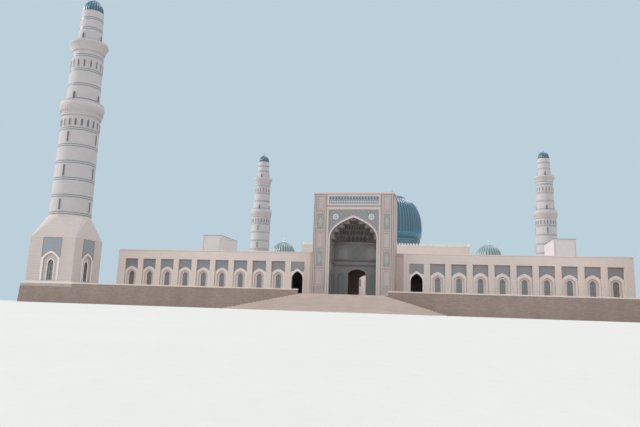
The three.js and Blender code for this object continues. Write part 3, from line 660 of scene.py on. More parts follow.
# Dark grey for openings: painted shade on flat plates where slits and doors would open into shade.
dark_opening = plain("dark_opening", (112, 110, 111), (88, 87, 89), 0.5)
bronze = plain("bronze", (120, 112, 102), (84, 76, 68), 0.4, Metallic=0.6)
brass = plain("brass", (206, 178, 112), (160, 130, 76), 0.25, Metallic=1.0)
pale_metal = plain("pale_metal", (226, 226, 220), (192, 194, 190), 0.3, Metallic=0.3)
# Rib and groove colours: the groove colour is partly a darker glaze and partly painted shade.
teal_dome = dome_glaze("teal_dome", (60, 118, 136), (14, 48, 66), 0.3, 0.75, 0.6)
striped_dome = dome_glaze("striped_dome", (176, 192, 190), (40, 68, 74), 0.4, 0.6, 0.2)
cap_glaze = dome_glaze("cap_glaze", (84, 124, 140), (26, 54, 72), 0.4, 0.7, 0.2)
# Window glass: a light grey that is partly the glass's tint and partly painted reflection of the sky; the
# coat adds a real reflection.
glass_with_painted_reflection = plain("tinted_glass", (128, 129, 128), (104, 108, 109), 0.2, 0.08, 0.0006,
              Specular_IOR_Level=0.6, Coat_Weight=0.3)


# Pieces

def to_frame(x, y):
    return Vector((x * MM, y * MM + FRONT_Y, 0))


class Piece:
    """One object of the part, gathered from drafts in several finishes. Drafts are drawn at the
    place and turn where the piece stands, which may change between drafts."""

    def __init__(self, name, place=(0, 0), turn=0):
        self.name = name
        self.builder = bmesh.new()
        self.finishes = []
        self.stand(place, turn)

    def stand(self, place, turn=0):
        self.place, self.turn = to_frame(*place), math.radians(turn)

    def take(self, mesh, finish):
        if finish not in self.finishes:
            self.finishes.append(finish)
        index = self.finishes.index(finish)
        mesh.polygons.foreach_set("material_index", [index] * len(mesh.polygons))
        self.builder.from_mesh(mesh)
        bpy.data.meshes.remove(mesh)

    def draw(self, finish, *drafts):
        mesh = Draft().join(*drafts).mesh()
        mesh.transform(Matrix.Translation(self.place) @ Matrix.Rotation(self.turn, 4, "Z"))
        self.take(mesh, finish)

    def run(self, finish, unit, count, start, step, turn_step):
        self.take(grown(unit, IN_A_RUN, {
            "Count": count, "Start": start, "Step": step, "Turn": self.turn, "Turn Step": turn_step,
            "Finish": finish,
        }), finish)

    def row(self, finish, unit, count, step=BAY, middle=0):
        along = Vector((math.cos(self.turn), math.sin(self.turn), 0)) * MM
        start = self.place + along * (middle - step * (count - 1) / 2)
        self.run(finish, unit, count, start, along * step, 0.0)

    def ring(self, finish, unit, count):
        self.run(finish, unit, count, self.place, Vector(), 2 * math.pi / count)

    def done(self, slot, *replaced):
        bmesh.ops.recalc_face_normals(self.builder, faces=self.builder.faces)
        mesh = bpy.data.meshes.new(self.name)
        self.builder.to_mesh(mesh)
        self.builder.free()
        for finish in self.finishes:
            mesh.materials.append(finish)
        settle(self.name, mesh, slot, *replaced)


def settle(name, mesh, slot, *replaced):
    mesh.name = name
    piece = shown(name, mesh)
    if replaced:
        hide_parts(*replaced)
    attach(piece, "root")


def ribbed(name, draft, place, ribs, depth, fade, finish, replaced, foot=0):
    mesh = grown(draft, RIBBED, {
        "Ribs": ribs, "Depth": depth * MM, "Fade Radius": fade * MM, "Foot Height": foot * MM,
        "Centre": to_frame(*place), "Finish": finish,
    })
    settle(name, mesh, "dome_tile", replaced)


# Bays of the ranges: a light band round the niche, a tile panel over it, and a window in it

NICHE = (106, 700, 797)
BAND_OUTSIDE = (140, 748, 866)
PANEL_HALF = 143
PANEL_TOP = 1016
PANEL_FOOT = 790
BORDER = 8
WINDOW = (54, 693, 752)
WINDOW_SILL = 435


def window_bars(arch, sill, back, bar=3):
    """A frame in an arched window, with a mullion, transoms and a ring in its head."""
    half, spring, apex = arch
    front = back - 2 * bar
    bars = arch_band((half - 1.6 * bar, spring, apex - 2 * bar), arch, sill, front, back, 4)
    bars.join(block((-bar / 2, bar / 2), (front, back), (sill, spring)))
    for share in (0, 0.33, 0.66, 1):
        level = sill + share * (spring - sill)
        bars.join(block((-half, half), (front, back), (level - bar / 2, level + bar / 2)))
    ring = half * 0.42
    middle = spring + (apex - spring) * 0.42
    inner, outer = (
        [(reach * math.cos(math.pi * i / 5), middle + reach * math.sin(math.pi * i / 5)) for i in range(10)]
        for reach in (ring - bar, ring)
    )
    return bars.join(band(inner, outer, front, back, closed=True))


def framed_panel(half, top, arch, foot, face, border=BORDER, steps=6):
    """A tile panel over an arch, and its border."""
    outline = spandrel_line(half, top, arch, foot, steps)
    inside = spandrel_line(half - border, top - border, grown_arch(arch, border), foot + border, steps)
    return plate(outline, face - 2, face + SINK), band(inside, outline, face - 4, face + SINK, closed=True)


niche_back = NICHE_DEPTH + SINK
bay_field, bay_border = framed_panel(PANEL_HALF, PANEL_TOP, BAND_OUTSIDE, PANEL_FOOT, RECESS)
window_surround = arch_edge(WINDOW, 14, WINDOW_SILL - 12, NICHE_DEPTH - 8, niche_back, 5)
window_surround.join(block((-70, 70), (NICHE_DEPTH - 11, niche_back), (WINDOW_SILL - 16, WINDOW_SILL - 4)))
BLIND_BAY = (
    (light_stone, arch_band(NICHE, BAND_OUTSIDE, PARAPET_Z - 30, RECESS - 6, RECESS + SINK)),
    (grey_tiles, bay_field),
    (brown_border, bay_border),
)
GLAZED_BAY = (
    *BLIND_BAY,
    (rose_stone, window_surround),
    (bronze, window_bars(WINDOW, WINDOW_SILL, NICHE_DEPTH - 0.5)),
    (glass_with_painted_reflection, arched_plate(grown_arch(WINDOW, 1), WINDOW_SILL - 5, NICHE_DEPTH - 1.5, NICHE_DEPTH + 6)),
)


def coping_strip(length, z, height=14, proud=6):
    return block((-length / 2, length / 2), (-proud, SINK), (z - height, z))


def dressed_wall(name, place, turn, length, bay, count, middles=(0,)):
    """A wall's trim, begun with groups of bays about their middles and the coping of its length."""
    wall = Piece(name, place, turn)
    for middle in middles:
        for finish, unit in bay:
            wall.row(finish, unit, count, middle=middle)
    if length:
        wall.draw(light_stone, coping_strip(length, RANGE_TOP_Z))
    return wall


WING_DOOR_X = 1239
WING_BAYS = 9
SIDE_BAYS = 26
BACK_BAYS = 24
COURT_BAYS = 10
WING_DOOR = (122, 665, 822)
WING_DOOR_BAND = (143, 690, 872)
DOOR = (186, 790, 895)
HALL_DOOR = (414, 1100, 1344)
door_field, door_border = framed_panel(PANEL_HALF, PANEL_TOP, WING_DOOR_BAND, 815, 0)
for side, sign in SIDES:
    door_x = sign * WING_DOOR_X
    middle = sign * (WING_DOOR_X + BAY * (WING_BAYS + 1) / 2)
    wing = dressed_wall(f"wing_{side}_trim", (0, 0), 0, 0, GLAZED_BAY, WING_BAYS, (middle,))
    # White frame, tile panel and hood of the doorway beside the portal
    for finish, unit in (
        (white_stone, arch_band(WING_DOOR, WING_DOOR_BAND, TERRACE_Z, -10)),
        (grey_tiles, door_field),
        (brown_border, door_border),
        (light_stone, frame_band(152, TERRACE_Z + 10, 1024, 10, -4)),
    ):
        wing.draw(finish, unit.moved(x=door_x))
    wing.draw(light_stone, coping_strip(RANGE_HALF - LINK_HALF, RANGE_TOP_Z).moved(
        x=sign * (LINK_HALF + RANGE_HALF) / 2))
    wing.done("wall_stone")

    court_depth = HALL_FRONT_Y - COURT_FRONT_Y
    for part, place, turn, *bays in (
        ("side", (sign * RANGE_HALF, RANGE_DEPTH / 2), 90, RANGE_DEPTH, GLAZED_BAY, SIDE_BAYS),
        ("court", (sign * COURT_FACE_X, COURT_FRONT_Y + court_depth / 2), -90, court_depth,
         BLIND_BAY, COURT_BAYS),
    ):
        dressed_wall(f"{part}_{side}_trim", place, sign * turn, *bays).done("wall_stone")

dressed_wall("back_trim", (0, RANGE_DEPTH), 180, 2 * RANGE_HALF, GLAZED_BAY, BACK_BAYS).done("wall_stone")

court_front = dressed_wall(
    "court_front_trim", (0, COURT_FRONT_Y), 180, 2 * HALL_HALF, BLIND_BAY, 5, (-3 * BAY, 3 * BAY))
court_front.draw(white_stone, arch_edge(DOOR, 24, TERRACE_Z, -10))
court_front.done("wall_stone")

hall_front = dressed_wall(
    "hall_front_trim", (0, HALL_FRONT_Y), 0, 0, BLIND_BAY, 4, (-3.5 * BAY, 3.5 * BAY))
hall_front.draw(white_stone, arch_edge(HALL_DOOR, 30, TERRACE_Z, -12, SINK, 10))
door_panel = spandrel_line(470, 1500, grown_arch(HALL_DOOR, 30), 1180, 10)
hall_front.draw(spandrel_tiles, plate(door_panel, -3, SINK))
hall_front.draw(red_stone, frame_band(474, TERRACE_Z + 10, 1504, 10, -6))
hall_front.done("wall_stone")


# Merlons and the light band along the top of the hall

MERLON_PITCH = 88
MERLON_HEIGHT = 78
merlon_half = [(28, 0), (28, 34), (24, 48), (14, 62), (5, 73)]
merlon_line = [*merlon_half, (0, MERLON_HEIGHT), *[(-x, z) for x, z in reversed(merlon_half)]]
merlon = plate([(x, HALL_TOP_Z - SINK + z) for x, z in merlon_line], 8, 30)
crown = Piece("hall_merlons")
hall_middle = (HALL_FRONT_Y + RANGE_DEPTH) / 2
hall_depth = RANGE_DEPTH - HALL_FRONT_Y
for place, turn, length in (
    ((0, HALL_FRONT_Y), 0, 2 * HALL_HALF),
    ((HALL_HALF, hall_middle), 90, hall_depth),
    ((0, RANGE_DEPTH), 180, 2 * HALL_HALF),
    ((-HALL_HALF, hall_middle), -90, hall_depth),
):
    crown.stand(place, turn)
    crown.row(cream_stone, merlon, int((length - MERLON_PITCH) / MERLON_PITCH), MERLON_PITCH)
    crown.draw(light_stone, coping_strip(length + 10, HALL_TOP_Z, 30, 5))
crown.done("wall_stone")


# Front of the portal: flat layers that stand proud of its face

def both(spans, y, z):
    """Blocks on both sides, from spans of X on the right."""
    return [block(side, y, z) for low, high in spans for side in ((low, high), (-high, -low))]


def wide_block(half, y, z):
    return block((-half, half), y, z)


FRIEZE_HALF = 511
FRIEZE_Z = (2157, 2318)
FRIEZE_FIELD_HALF = 498
MEDALLION_X = 361
MEDALLION_Z = 1892
arch_opening = (IWAN_HALF - 2, IWAN_SPRING_Z, IWAN_APEX_Z - 3)
arch_outside = (502, IWAN_SPRING_Z, 1928)
portal = Piece("portal_front_trim", (0, PORTAL_FRONT_Y))
outer_u, inner_u = (
    [(half, TERRACE_Z), (half, top), (-half, top), (-half, TERRACE_Z)]
    for half, top in ((546, 2096), (511, 2042))
)
for finish, draft in (
    (frame_stone, arch_band(arch_opening, arch_outside, TERRACE_Z, -14, SINK, 14)),
    (white_stone, arch_edge(arch_opening, 8, TERRACE_Z, -19, -13, 14)),
    (spandrel_tiles, plate(spandrel_line(511, 2036, arch_outside, 1500, 14), -4, SINK)),
    (frame_stone, band(inner_u, outer_u, -10, SINK)),
    (red_stone, wide_block(552, (-6, SINK), (2101, 2113))),
    (frame_stone, frame_band(FRIEZE_HALF, *FRIEZE_Z, 32, -10)),
    # Grounds and edge of the frieze: a band of pointed leaves over a band of stars
    (band_tiles, wide_block(FRIEZE_HALF, (-3, SINK), FRIEZE_Z)),
    (blue_tiles, wide_block(FRIEZE_FIELD_HALF, (-5, -2), (2166, 2236))),
    (frieze_ground, wide_block(FRIEZE_FIELD_HALF, (-5, -2), (2243, 2311))),
    (pale_inlay, frame_band(500, 2165, 2310, 4, -7, -2)),
):
    portal.draw(finish, draft)
for finish, top, proud, spans in (
    (brown_border, 1505, 5, ((502, 511),)),
    (red_stone, CORNICE_Z, 6, ((552, 562),)),
    (frame_stone, CORNICE_Z, 8, ((572, 582), (776, 790))),
    (brown_border, CORNICE_Z, 4, ((764, 770), (798, 803))),
    (rose_stone, 350, 16, ((IWAN_HALF, PORTAL_HALF - 2),)),
):
    portal.draw(finish, *both(spans, (-proud, SINK), (TERRACE_Z, top)))

leaf = [(0, 2247), (15, 2262), (19, 2278), (0, 2307), (-19, 2278), (-15, 2262)]
portal.row(frieze_leaf, plate(leaf, -8, -2), 17, 60)
portal.row(pale_inlay, star(0, 2201, 18, -9, -4), 21, 48)

# Star medallions on the spandrels, and panels of the piers: ribbed and patterned in turn
PIER_X = 673
PIER_HALF = 66
PIER_PANELS = (
    (2039, 2325, True), (1635, 1962, False), (1268, 1571, True), (896, 1204, False), (518, 822, True),
)
for sign in (-1, 1):
    for finish, size, proud in ((pale_inlay, 70, 9), (blue_tiles, 36, 11), (pale_inlay, 22, 13)):
        back = -3 if size == 70 else 3 - proud
        portal.draw(finish, star(sign * MEDALLION_X, MEDALLION_Z, size, -proud, back))
    x = sign * PIER_X
    for z0, z1, has_ribs in PIER_PANELS:
        portal.draw(frame_stone, frame_band(PIER_HALF, z0, z1, 12, -9, x=x))
        field, front = (mauve_tiles, -4) if has_ribs else (green_tiles, -5)
        portal.draw(field, plate(rectangle(PIER_HALF, z0, z1, x), -2, SINK))
        portal.draw(brown_border, frame_band(PIER_HALF - 8, z0 + 8, z1 - 8, 4, front, -1, x))
        if has_ribs:
            portal.row(rose_stone, wide_block(4, (-7, -1), (z0 + 20, z1 - 20)), 5, 20, x)
        else:
            middle = (z0 + z1) / 2
            tall = [(x, middle - 100), (x + 38, middle), (x, middle + 100), (x - 38, middle)]
            portal.draw(diamond_inlay, plate(tall, -5, -1))
            portal.draw(mauve_tiles, star(x, middle, 24, -8, -4))
        portal.draw(red_stone, block((x - 80, x + 80), (-4, SINK), (z0 - 40, z0 - 34)))
portal.done("portal_stone")

# Cornice round the top of the portal, and frames on its sides
portal_middle = (PORTAL_FRONT_Y + PORTAL_BACK_Y) / 2
cornice = Piece("portal_cornice", (0, portal_middle))
for proud, z0, z1, finish in ((8, CORNICE_Z, 2368, red_stone), (12, 2368, PORTAL_TOP_Z + 2, rose_stone)):
    deep = (PORTAL_BACK_Y - PORTAL_FRONT_Y) / 2 + proud
    cornice.draw(finish, ledge(PORTAL_HALF + proud, deep, proud + SINK, z0, z1))
for x, turn in ((-PORTAL_HALF, -90), (PORTAL_HALF, 90)):
    cornice.stand((x, portal_middle), turn)
    cornice.draw(rose_stone, *(frame_band(110, 1300, 2250, 12, -6, x=centre) for centre in (-275, 0, 275)))
cornice.done("portal_stone")


# Inside the portal: tile panels, the lintel band, the balcony rail and rows of cells in the vault

inside = Piece("portal_inside_trim", (0, IWAN_BACK_Y))


def blind_panel(half, upper, x, finish):
    """A framed tile panel with a pointed head, over the lintel band or under it."""
    spring, apex, foot = (1270, 1365, 1080) if upper else (730, 810, 350)
    arch, width = (half, spring, apex), 12
    inside.draw(finish, arched_plate(arch, foot, -3).moved(x=x))
    frame_line = arch_edge(arch, width, foot, -9, SINK, 5)
    frame_line.join(wide_block(half + width, (-12, SINK), (foot - 10, foot)))
    inside.draw(vault_trim, frame_line.moved(x=x))


blind_panel(96, True, 0, dark_tiles)
for x in (-300, 300):
    blind_panel(96, True, x, green_tiles)
    blind_panel(84, False, x * 1.1, dark_tiles)
inside.draw(vault_trim, arch_edge(DOOR, 20, TERRACE_Z, -10))
inside.draw(vault_trim, wide_block(IWAN_HALF, (-26, SINK), (1412, 1457)))
inside.draw(red_stone, wide_block(IWAN_HALF, (-30, -24), (1426, 1436)))
RAIL_Y = -44
inside.row(vault_trim, wide_block(4, (RAIL_Y - 4, RAIL_Y + 4), (1031, 1092)), 25, 38)
inside.draw(vault_trim, wide_block(IWAN_HALF - 1, (RAIL_Y - 7, RAIL_Y + 7), (1090, 1102)))
for x, turn in ((-IWAN_HALF, 90), (IWAN_HALF, -90)):
    inside.stand((x, -200), turn)
    for centre in (-215, 0, 215):
        blind_panel(72, True, centre, green_tiles)
        blind_panel(72, False, centre, dark_tiles)
    inside.draw(vault_trim, wide_block(350, (-8, SINK), (979, 1033)))
inside.done("vault_plaster")

cells = Piece("portal_vault_cells")


def tier_sides(half, depth):
    """The place, turn and length of a tier's back, its two chamfers and its two cheeks."""
    chamfer = half / 2
    back_y = VAULT_FRONT_Y + depth
    cheek_y = VAULT_FRONT_Y + (depth - chamfer) / 2
    sides = [((0, back_y), 0, half)]
    for sign in (1, -1):
        middle = (sign * (half - chamfer / 2), back_y - chamfer / 2)
        sides.append((middle, -45 * sign, math.hypot(chamfer, chamfer)))
    return sides + [((sign * half, cheek_y), -90 * sign, depth - chamfer) for sign in (1, -1)]


def cell_row(sides, z0, z1, width):
    """Pointed cells along the sides of a tier, each over a dark plate of painted shade in its hollow."""
    spring = z0 + (z1 - z0) * 0.45
    arch = (width / 2 - 6, spring, z1 - 8)
    hood = arch_band(arch, (width / 2 - 1, spring, z1 - 1), z0, -16, SINK, 3)
    # The hollow is a flat dark plate behind the hood: painted shade.
    hollow = arched_plate(arch, z0, -3, SINK, 3)
    for place, turn, length in sides:
        cells.stand(place, turn)
        for finish, unit in ((cell_plaster, hood), (cell_shade, hollow)):
            cells.row(finish, unit, max(1, int(length / width)), width)


def corner_fan(side, z0, z1):
    """Nested pointed arches on a chamfer, from its edge to its foot, over a dark plate of painted shade."""
    place, turn, length = side
    cells.stand(place, turn)
    spring = z0 + 12
    for step in range(4):
        reach = 1 - 0.24 * step
        half, apex = length / 2 * reach - 6, z0 + (z1 - z0) * reach
        arch = (half - 9, spring, apex - 13)
        cells.draw(cell_plaster, arch_band(arch, (half, spring, apex), z0, -18 + 3 * step, SINK, 5))
    cells.draw(cell_shade, arched_plate((length / 2 - 10, spring, z1 - 6), z0, -2))


for half, depth, z0, z1, width in (
    (340, 420, 1602, 1690, 57), (235, 300, 1692, 1770, 52), (105, 150, 1772, 1835, 44),
):
    cell_row(tier_sides(half, depth), z0, z1, width)
LOWEST_TIER_Z = (1462, 1588)
lowest_tier = tier_sides(420, 520)
back_side, *corners, left_cheek, right_cheek = lowest_tier
cell_row([back_side, left_cheek, right_cheek], *LOWEST_TIER_Z, 84)
for side in corners:
    corner_fan(side, *LOWEST_TIER_Z)
for place, turn, length in lowest_tier:
    cells.stand(place, turn)
    cells.draw(cell_plaster, wide_block(length / 2, (-16, SINK), (1588, 1602)))
cells.done("vault_plaster")


# Darker band at the top of the links
links = Piece("link_trim")
links.draw(link_band, *both([(818, 975)], (-4, SINK), (1128, 1204)))
links.draw(light_stone, *both([(818, 978)], (-7, SINK), (1120, 1128)))
links.done("link_stone")


# Main dome, its drum and finial

def quarter(radius, centre_z, rise, stop, steps, fullness=1.0):
    """Half of a dome's outline, from its widest point up. Fullness under 1 lifts the shoulder."""
    last = math.acos((stop / radius) ** (1 / fullness))
    line = []
    for i in range(steps + 1):
        angle = last * i / steps
        line.append((radius * math.cos(angle) ** fullness, centre_z + rise * math.sin(angle) ** fullness))
    return line


def arched_ring(piece, arch, foot, radius, count, pane, edge, depths, width, steps=4):
    """Arched panes and their edges round a turned wall. Each depth pair is proud and sunk."""
    (pane_front, pane_back), (edge_front, edge_back) = depths
    piece.ring(pane, arched_plate(arch, foot, -radius - pane_front, pane_back - radius, steps), count)
    line = arch_edge(arch, width, foot, -radius - edge_front, edge_back - radius, steps)
    piece.ring(edge, line, count)


DOME_RADIUS = 1075
DOME_FOOT_Z = 2850
DOME_WAIST_Z = 3020
DOME_CROWN_Z = 4260
FINIAL_TOP_Z = 4532
DRUM_RADIUS = 1000
DRUM_TOP_Z = 2612
dome_shell = [
    (1014, DRUM_TOP_Z), (1042, 2650), (1062, 2700), (1071, 2760),
    (DOME_RADIUS, DOME_FOOT_Z - 2), (DOME_RADIUS, DOME_FOOT_Z + 2),
    *quarter(DOME_RADIUS, DOME_WAIST_Z, DOME_CROWN_Z - DOME_WAIST_Z, 45, 26, 0.89),
    *reversed(quarter(1010, 3000, 1180, 40, 12)),
    (DRUM_RADIUS, 2726), (950, DRUM_TOP_Z),
]
ribbed("main_dome_glaze", lathe(dome_shell, 360), (0, DOME_Y), 60, 24, 260, teal_dome, "main_dome",
       foot=DOME_FOOT_Z)

drum = Piece("main_dome_drum_tiles", (0, DOME_Y))
drum.draw(drum_tiles, lathe([
    (940, HALL_ROOF_Z), (1012, HALL_ROOF_Z), (1012, 2090), (DRUM_RADIUS, 2100), (DRUM_RADIUS, 2520),
    (1012, 2530), (1014, DRUM_TOP_Z), (940, DRUM_TOP_Z),
], 96, smooth=False))
drum.draw(drum_inlay, hoop(990, 1010, 2506, 2520, 96), hoop(990, 1010, 2130, 2142, 96))
for radius, z in ((1066, 2690), (1079, DOME_FOOT_Z)):
    drum.draw(drum_tiles, hoop(1040, radius, z - 7, z + 7, 120))
arched_ring(drum, (36, 2360, 2430), 2190, DRUM_RADIUS, 48, blue_tiles, drum_inlay, ((8, 6), (12, 4)), 9)
drum.ring(drum_inlay, star(0, 2568, 22, -1020, -1004), 72)
drum.done("dome_tile", "main_dome_drum")


def finial_line(foot, z0, z1):
    """A foot, two balls with necks and a spike."""
    height = z1 - z0
    line = [(0, z0), (foot, z0), (foot * 0.9, z0 + height * 0.03), (foot * 0.35, z0 + height * 0.12)]
    for middle, radius, reach in ((0.28, 0.9, 0.13), (0.57, 0.5, 0.08)):
        for i in range(1, 8):
            angle = math.pi * i / 8
            line.append((foot * radius * math.sin(angle), z0 + height * (middle - reach * math.cos(angle))))
        line.append((foot * 0.18, z0 + height * (middle + reach * 1.05)))
    return [*line, (foot * 0.12, z0 + height * 0.8), (0, z1)]


main_finial = Piece("main_dome_finial_brass", (0, DOME_Y))
main_finial.draw(brass, lathe(finial_line(45, DOME_CROWN_Z - 1, FINIAL_TOP_Z), 24))
main_finial.done("finial_metal", "main_dome_finial")


# Small domes on their drums, and the edges and joints of the roof pavilions

SMALL_RIM_Z = 1666
small_rise = SMALL_DOME_TOP_Z - SMALL_DRUM_TOP_Z
drum_inner, rim_radius = SMALL_DRUM_RADIUS - 30, SMALL_DRUM_RADIUS + 8
small_shell = [
    (rim_radius, SMALL_DRUM_TOP_Z),
    *quarter(SMALL_DOME_RADIUS, SMALL_DRUM_TOP_Z + 2, small_rise - 2, 20, 16),
    *reversed(quarter(SMALL_DOME_RADIUS - 40, SMALL_DRUM_TOP_Z + 2, small_rise - 40, 20, 8)),
    (drum_inner, SMALL_DRUM_TOP_Z),
]
drum_rim = [
    (drum_inner, SMALL_RIM_Z), (rim_radius, SMALL_RIM_Z), (rim_radius + 4, 1690),
    (rim_radius, SMALL_DRUM_TOP_Z), (drum_inner, SMALL_DRUM_TOP_Z),
]
ball = [(24 * math.sin(math.pi * i / 8), 2188 - 24 * math.cos(math.pi * i / 8)) for i in range(1, 8)]
small_finial = [(0, 2100), (26, 2100), (12, 2116), (8, 2160), *ball, (5, 2214), (0, SMALL_FINIAL_TOP_Z)]
for side, sign in SIDES:
    place = (sign * SMALL_DOME_X, SMALL_DOME_Y)
    name = f"small_dome_{side}"
    ribbed(f"{name}_glaze", lathe(small_shell, 168), place, 28, 16, 120, striped_dome, name)
    body = Piece(f"{name}_drum", place)
    body.draw(wall_stone, hoop(drum_inner, SMALL_DRUM_RADIUS, ROOF_Z, SMALL_RIM_Z))
    body.draw(pale_inlay, lathe(drum_rim, 48, smooth=False))
    window = (28, 1560, 1612)
    arched_ring(body, window, 1380, SMALL_DRUM_RADIUS, 16, glass_with_painted_reflection, light_stone, ((3, 7), (8, 6)), 8)
    body.draw(pale_metal, lathe(small_finial, 16))
    body.done("dome_tile")

edge_foot = PAVILION_TOP_Z - 16
band_foot = PAVILION_TOP_Z - 40
for side, sign in SIDES:
    x0, x1 = sorted(sign * x for x in PAVILION_X)
    y0, y1 = PAVILION_Y
    wide, deep = (x1 - x0) / 2, (y1 - y0) / 2
    trim = Piece(f"roof_pavilion_{side}_trim", ((x0 + x1) / 2, (y0 + y1) / 2))
    # The top edge takes the same dark grey as the painted shade of the openings.
    for z0, z1, finish, proud in (
        (edge_foot, PAVILION_TOP_Z + 2, dark_opening, 3), (band_foot, edge_foot, light_stone, 6),
    ):
        trim.draw(finish, ledge(wide + proud, deep + proud, proud + SINK, z0, z1))
    for x in (34 - wide, wide - 34):
        trim.draw(brown_border, block((x - 3, x + 3), (-deep - 2, SINK - deep), (RANGE_TOP_Z, band_foot)))
    trim.done("wall_stone")


# Minarets

def radius_at(z):
    for (z0, r0), (z1, r1) in SHAFT_RUNS:
        if z0 <= z <= z1:
            return r0 + (r1 - r0) * (z - z0) / (z1 - z0)
    return SHAFT_RUNS[-1][1][1]


BALCONY_FLARE = 130
RIM_STEPS = (
    (0.16, 6), (0.29, 0), (0.52, 0), (0.7, 3), (0.74, 12), (0.91, 14), (0.94, 10), (1, 12), (1, 36),
)


def balcony_line(z, rail, radius, floor_z, walk, neck):
    """A flared balcony: ring, hollow curve, round rim, parapet and walkway."""
    start = z + 20
    line = [(neck, z - 4), (neck + 18, z), (neck + 22, start)]
    for i in range(1, 7):
        t = i / 6
        line.append((neck + 22 + (radius - 38 - neck) * t ** 1.3, start + BALCONY_FLARE * t))
    end = start + BALCONY_FLARE
    line += [(radius - inset, end + share * (rail - end)) for share, inset in RIM_STEPS]
    return [*line, (radius - 44, floor_z), (walk, floor_z)]


BALCONIES = ((3860, 4185, 452, 4065, 344, 390), (5334, 5568, 404, 5470, 260, 321))
shaft_line = [
    (0, BASE_TOP_Z), (412, BASE_TOP_Z), (390, 3855), *balcony_line(*BALCONIES[0]),
    *balcony_line(*BALCONIES[1]), (229, SHAFT_END_Z), (0, SHAFT_END_Z),
]
GREEN_BANDS = (2140, 2495, 2850, 3205, 3560, 4220, 4552, 4884, 5216, 5875, 6115)
BASE_BAND_Z = 1785
LINE_GAP = 20
LINE_HALF = 7
LINE_PROUD = 2.5
SLITS = ((1846, 2064), (2545, 2780), (3275, 3490))
SLIT_HALF = 22
ARCHED_SLITS = (
    ((21, 3740, 3780), 3628, 20), ((15, 5088, 5115), 4955, 16),
    ((30, 4330, 4385), 4067, 4), ((26, 5700, 5750), 5472, 4),
)
CORBEL = [(392, 3880), (412, 3880), (418, 3910), (440, 3975), (440, 3985), (392, 3985)]


def green_line(piece, radius, middle, sides):
    ring = hoop(radius - 12, radius + LINE_PROUD, middle - LINE_HALF, middle + LINE_HALF, sides)
    piece.draw(green_glaze, ring)


def shaft_piece(name, place):
    shaft = Piece(f"{name}_shaft_stone", place)
    shaft.draw(shaft_stone, lathe(held(shaft_line), 64))
    for z in GREEN_BANDS:
        for middle in (z - LINE_GAP, z + LINE_GAP):
            green_line(shaft, radius_at(middle), middle, 48)
    for z0, z1 in SLITS:
        radius = radius_at((z0 + z1) / 2)
        # Each slit is a flat dark plate on the shaft: painted shade in place of an opening.
        shaft.ring(dark_opening, plate(rectangle(SLIT_HALF, z0, z1), -radius - 3, 12 - radius), 4)
        shaft.ring(shaft_stone, frame_band(SLIT_HALF, z0, z1, 8, -radius - 7, 10 - radius), 4)
    # Arched slits and balcony doors are flat dark plates as well: painted shade.
    for arch, foot, count in ARCHED_SLITS:
        radius = radius_at(foot)
        arched_ring(shaft, arch, foot, radius, count, dark_opening, shaft_stone, ((2, 12), (8, 10)), 9)
        sill = wide_block(arch[0] + 9, (-radius - 8, 10 - radius), (foot - 9, foot))
        shaft.ring(shaft_stone, sill, count)
    shaft.ring(shaft_stone, fin(CORBEL, 12), 36)
    shaft.done("minaret_stone", f"{name}_shaft")


CAP_RADIUS = 220
CAP_TOP_Z = 6607
MINARET_TOP_Z = 6758
cap_line = [
    (0, SHAFT_END_Z), (CAP_RADIUS - 6, SHAFT_END_Z), (CAP_RADIUS, 6314),
    *quarter(CAP_RADIUS, 6340, 267, 14, 16), (0, CAP_TOP_Z),
]


def cap_piece(name, place):
    ribbed(f"{name}_cap_glaze", lathe(cap_line, 144), place, 24, 9, 80, cap_glaze, f"{name}_cap")
    tip = Piece(f"{name}_cap_finial", place)
    tip.draw(brass, lathe(finial_line(16, CAP_TOP_Z - 3, MINARET_TOP_Z), 12))
    tip.done("finial_metal")


BASE_NICHE = (156, 815, 963)
BASE_BAND = (198, 812, 1006)
BASE_WINDOW = (63, 752, 839)
BASE_SILL = 436


def base_piece(name, place):
    """Panels, niches and windows on the four faces of a minaret's base."""
    base = Piece(f"{name}_base_trim", place)
    face_y = -BASE_HALF
    back_y = face_y + BASE_NICHE_DEPTH
    field, border = framed_panel(205, 1274, BASE_BAND, 880, face_y, 10, 8)
    for finish, unit in (
        (light_stone, arch_band(BASE_NICHE, BASE_BAND, 424, face_y - 5, face_y + SINK, 8)),
        (base_tiles, field),
        (brown_border, border),
        (light_stone, arch_edge(BASE_WINDOW, 22, BASE_SILL - 8, back_y - 8, back_y + SINK)),
        (glass_with_painted_reflection, arched_plate(BASE_WINDOW, BASE_SILL, back_y + 10, back_y + 16, 6)),
        (bronze, window_bars(BASE_WINDOW, BASE_SILL, back_y + 9, 4)),
    ):
        base.ring(finish, unit, 4)
    for half, z0, z1 in (
        (MOULDING_HALF + 5, PLINTH_TOP_Z + 8, PARAPET_Z + 1),
        (BASE_HALF + 5, PARAPET_Z + 1, PARAPET_Z + 20),
    ):
        base.draw(light_stone, ledge(half, half, 6 + SINK, z0, z1))
    for middle in (BASE_BAND_Z - LINE_GAP, BASE_BAND_Z + LINE_GAP - 4):
        green_line(base, COLLAR_RADIUS, middle, 16)
    base.done("minaret_stone")


for row, y in (("front", MINARET_FRONT_Y), ("back", MINARET_BACK_Y)):
    for side, sign in SIDES:
        for make in (shaft_piece, cap_piece, base_piece):
            make(f"minaret_{row}_{side}", (sign * MINARET_X, y))


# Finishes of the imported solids, by the longest start of their names

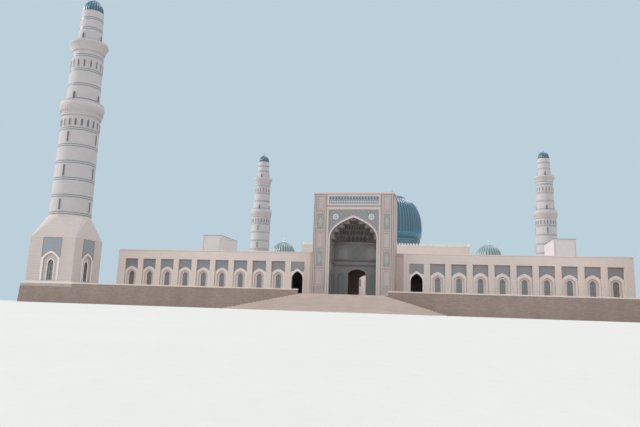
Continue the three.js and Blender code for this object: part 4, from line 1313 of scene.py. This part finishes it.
FINISHES = {
    start: finish
    for finish, starts in (
        (podium_paved, "podium"),
        (parapet_stone, "podium_parapet"),
        (stair_stone, "grand_stair"),
        (portal_stone, "portal_pier portal_arch_head"),
        (link_stone, "portal_link"),
        (vault_stone, "portal_vault portal_back_wall"),
        (wall_stone, "front_doorway front_wall side_wall back_wall court_wall hall_front_wall hall_wall"),
        (glass_with_painted_reflection, "glazing"),
        (roof_screed, "hall_roof roof_front roof_left roof_right"),
        (pavilion_stone, "roof_pavilion"),
        (base_stone, "minaret"),
    )
    for start in starts.split()
}
for name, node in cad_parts.items():
    match = max((start for start in FINISHES if name.startswith(start)), key=len, default=None)
    if match:
        for material_slot in node.material_slots:
            material_slot.material = FINISHES[match]


# Floor, light and camera

FLOOR_REACH = 300
floor_mesh = bpy.data.meshes.new("floor")
floor_corners = [(x, y, 0) for x in (-FLOOR_REACH, FLOOR_REACH) for y in (-FLOOR_REACH, FLOOR_REACH)]
floor_mesh.from_pydata(floor_corners, [], [(0, 2, 3, 1)])
floor_mesh.materials.append(plain("floor", (204, 199, 192), (194, 189, 182), 0.9))
floor = shown("floor", floor_mesh)

scene = bpy.context.scene
world = bpy.data.worlds.new("pale")
world.use_nodes = True
background = world.node_tree.nodes["Background"].inputs
background["Color"].default_value = tint((188, 208, 220))
background["Strength"].default_value = 1.0
scene.world = world
scene.view_settings.view_transform = "Standard"

for name, energy, spread, colour, toward in (
    ("key", 2.6, 8, (1.0, 0.96, 0.92), (-0.87, -0.1, 0.46)),
    ("fill", 0.9, 80, (1.0, 0.96, 0.94), (-0.12, -0.85, 0.5)),
    ("side", 0.4, 60, (1.0, 0.97, 0.96), (0.85, -0.3, 0.4)),
    ("overhead", 1.2, 26, (1.0, 0.99, 0.97), (0.3, 0.3, 0.9)),
):
    sun = bpy.data.lights.new(name, "SUN")
    sun.energy = energy
    sun.angle = math.radians(spread)
    sun.color = colour
    shown(name, sun).rotation_euler = Vector(toward).to_track_quat("Z", "Y").to_euler()

YAW, PITCH, ROLL = -0.1933, 0.1972, 0.0338
lens = bpy.data.cameras.new("camera")
lens.lens = 34.875
lens.sensor_width = 36
lens.shift_y = -26.5 / 640
lens.clip_start = 0.01
lens.clip_end = 1000
camera = shown("camera", lens)
camera.matrix_world = Matrix.Translation((1.692, -17.974, 0.0126))
for angle, axis in ((-YAW, "Z"), (math.pi / 2 + PITCH, "X"), (ROLL, "Z")):
    camera.matrix_world = camera.matrix_world @ Matrix.Rotation(angle, 4, axis)
scene.camera = camera
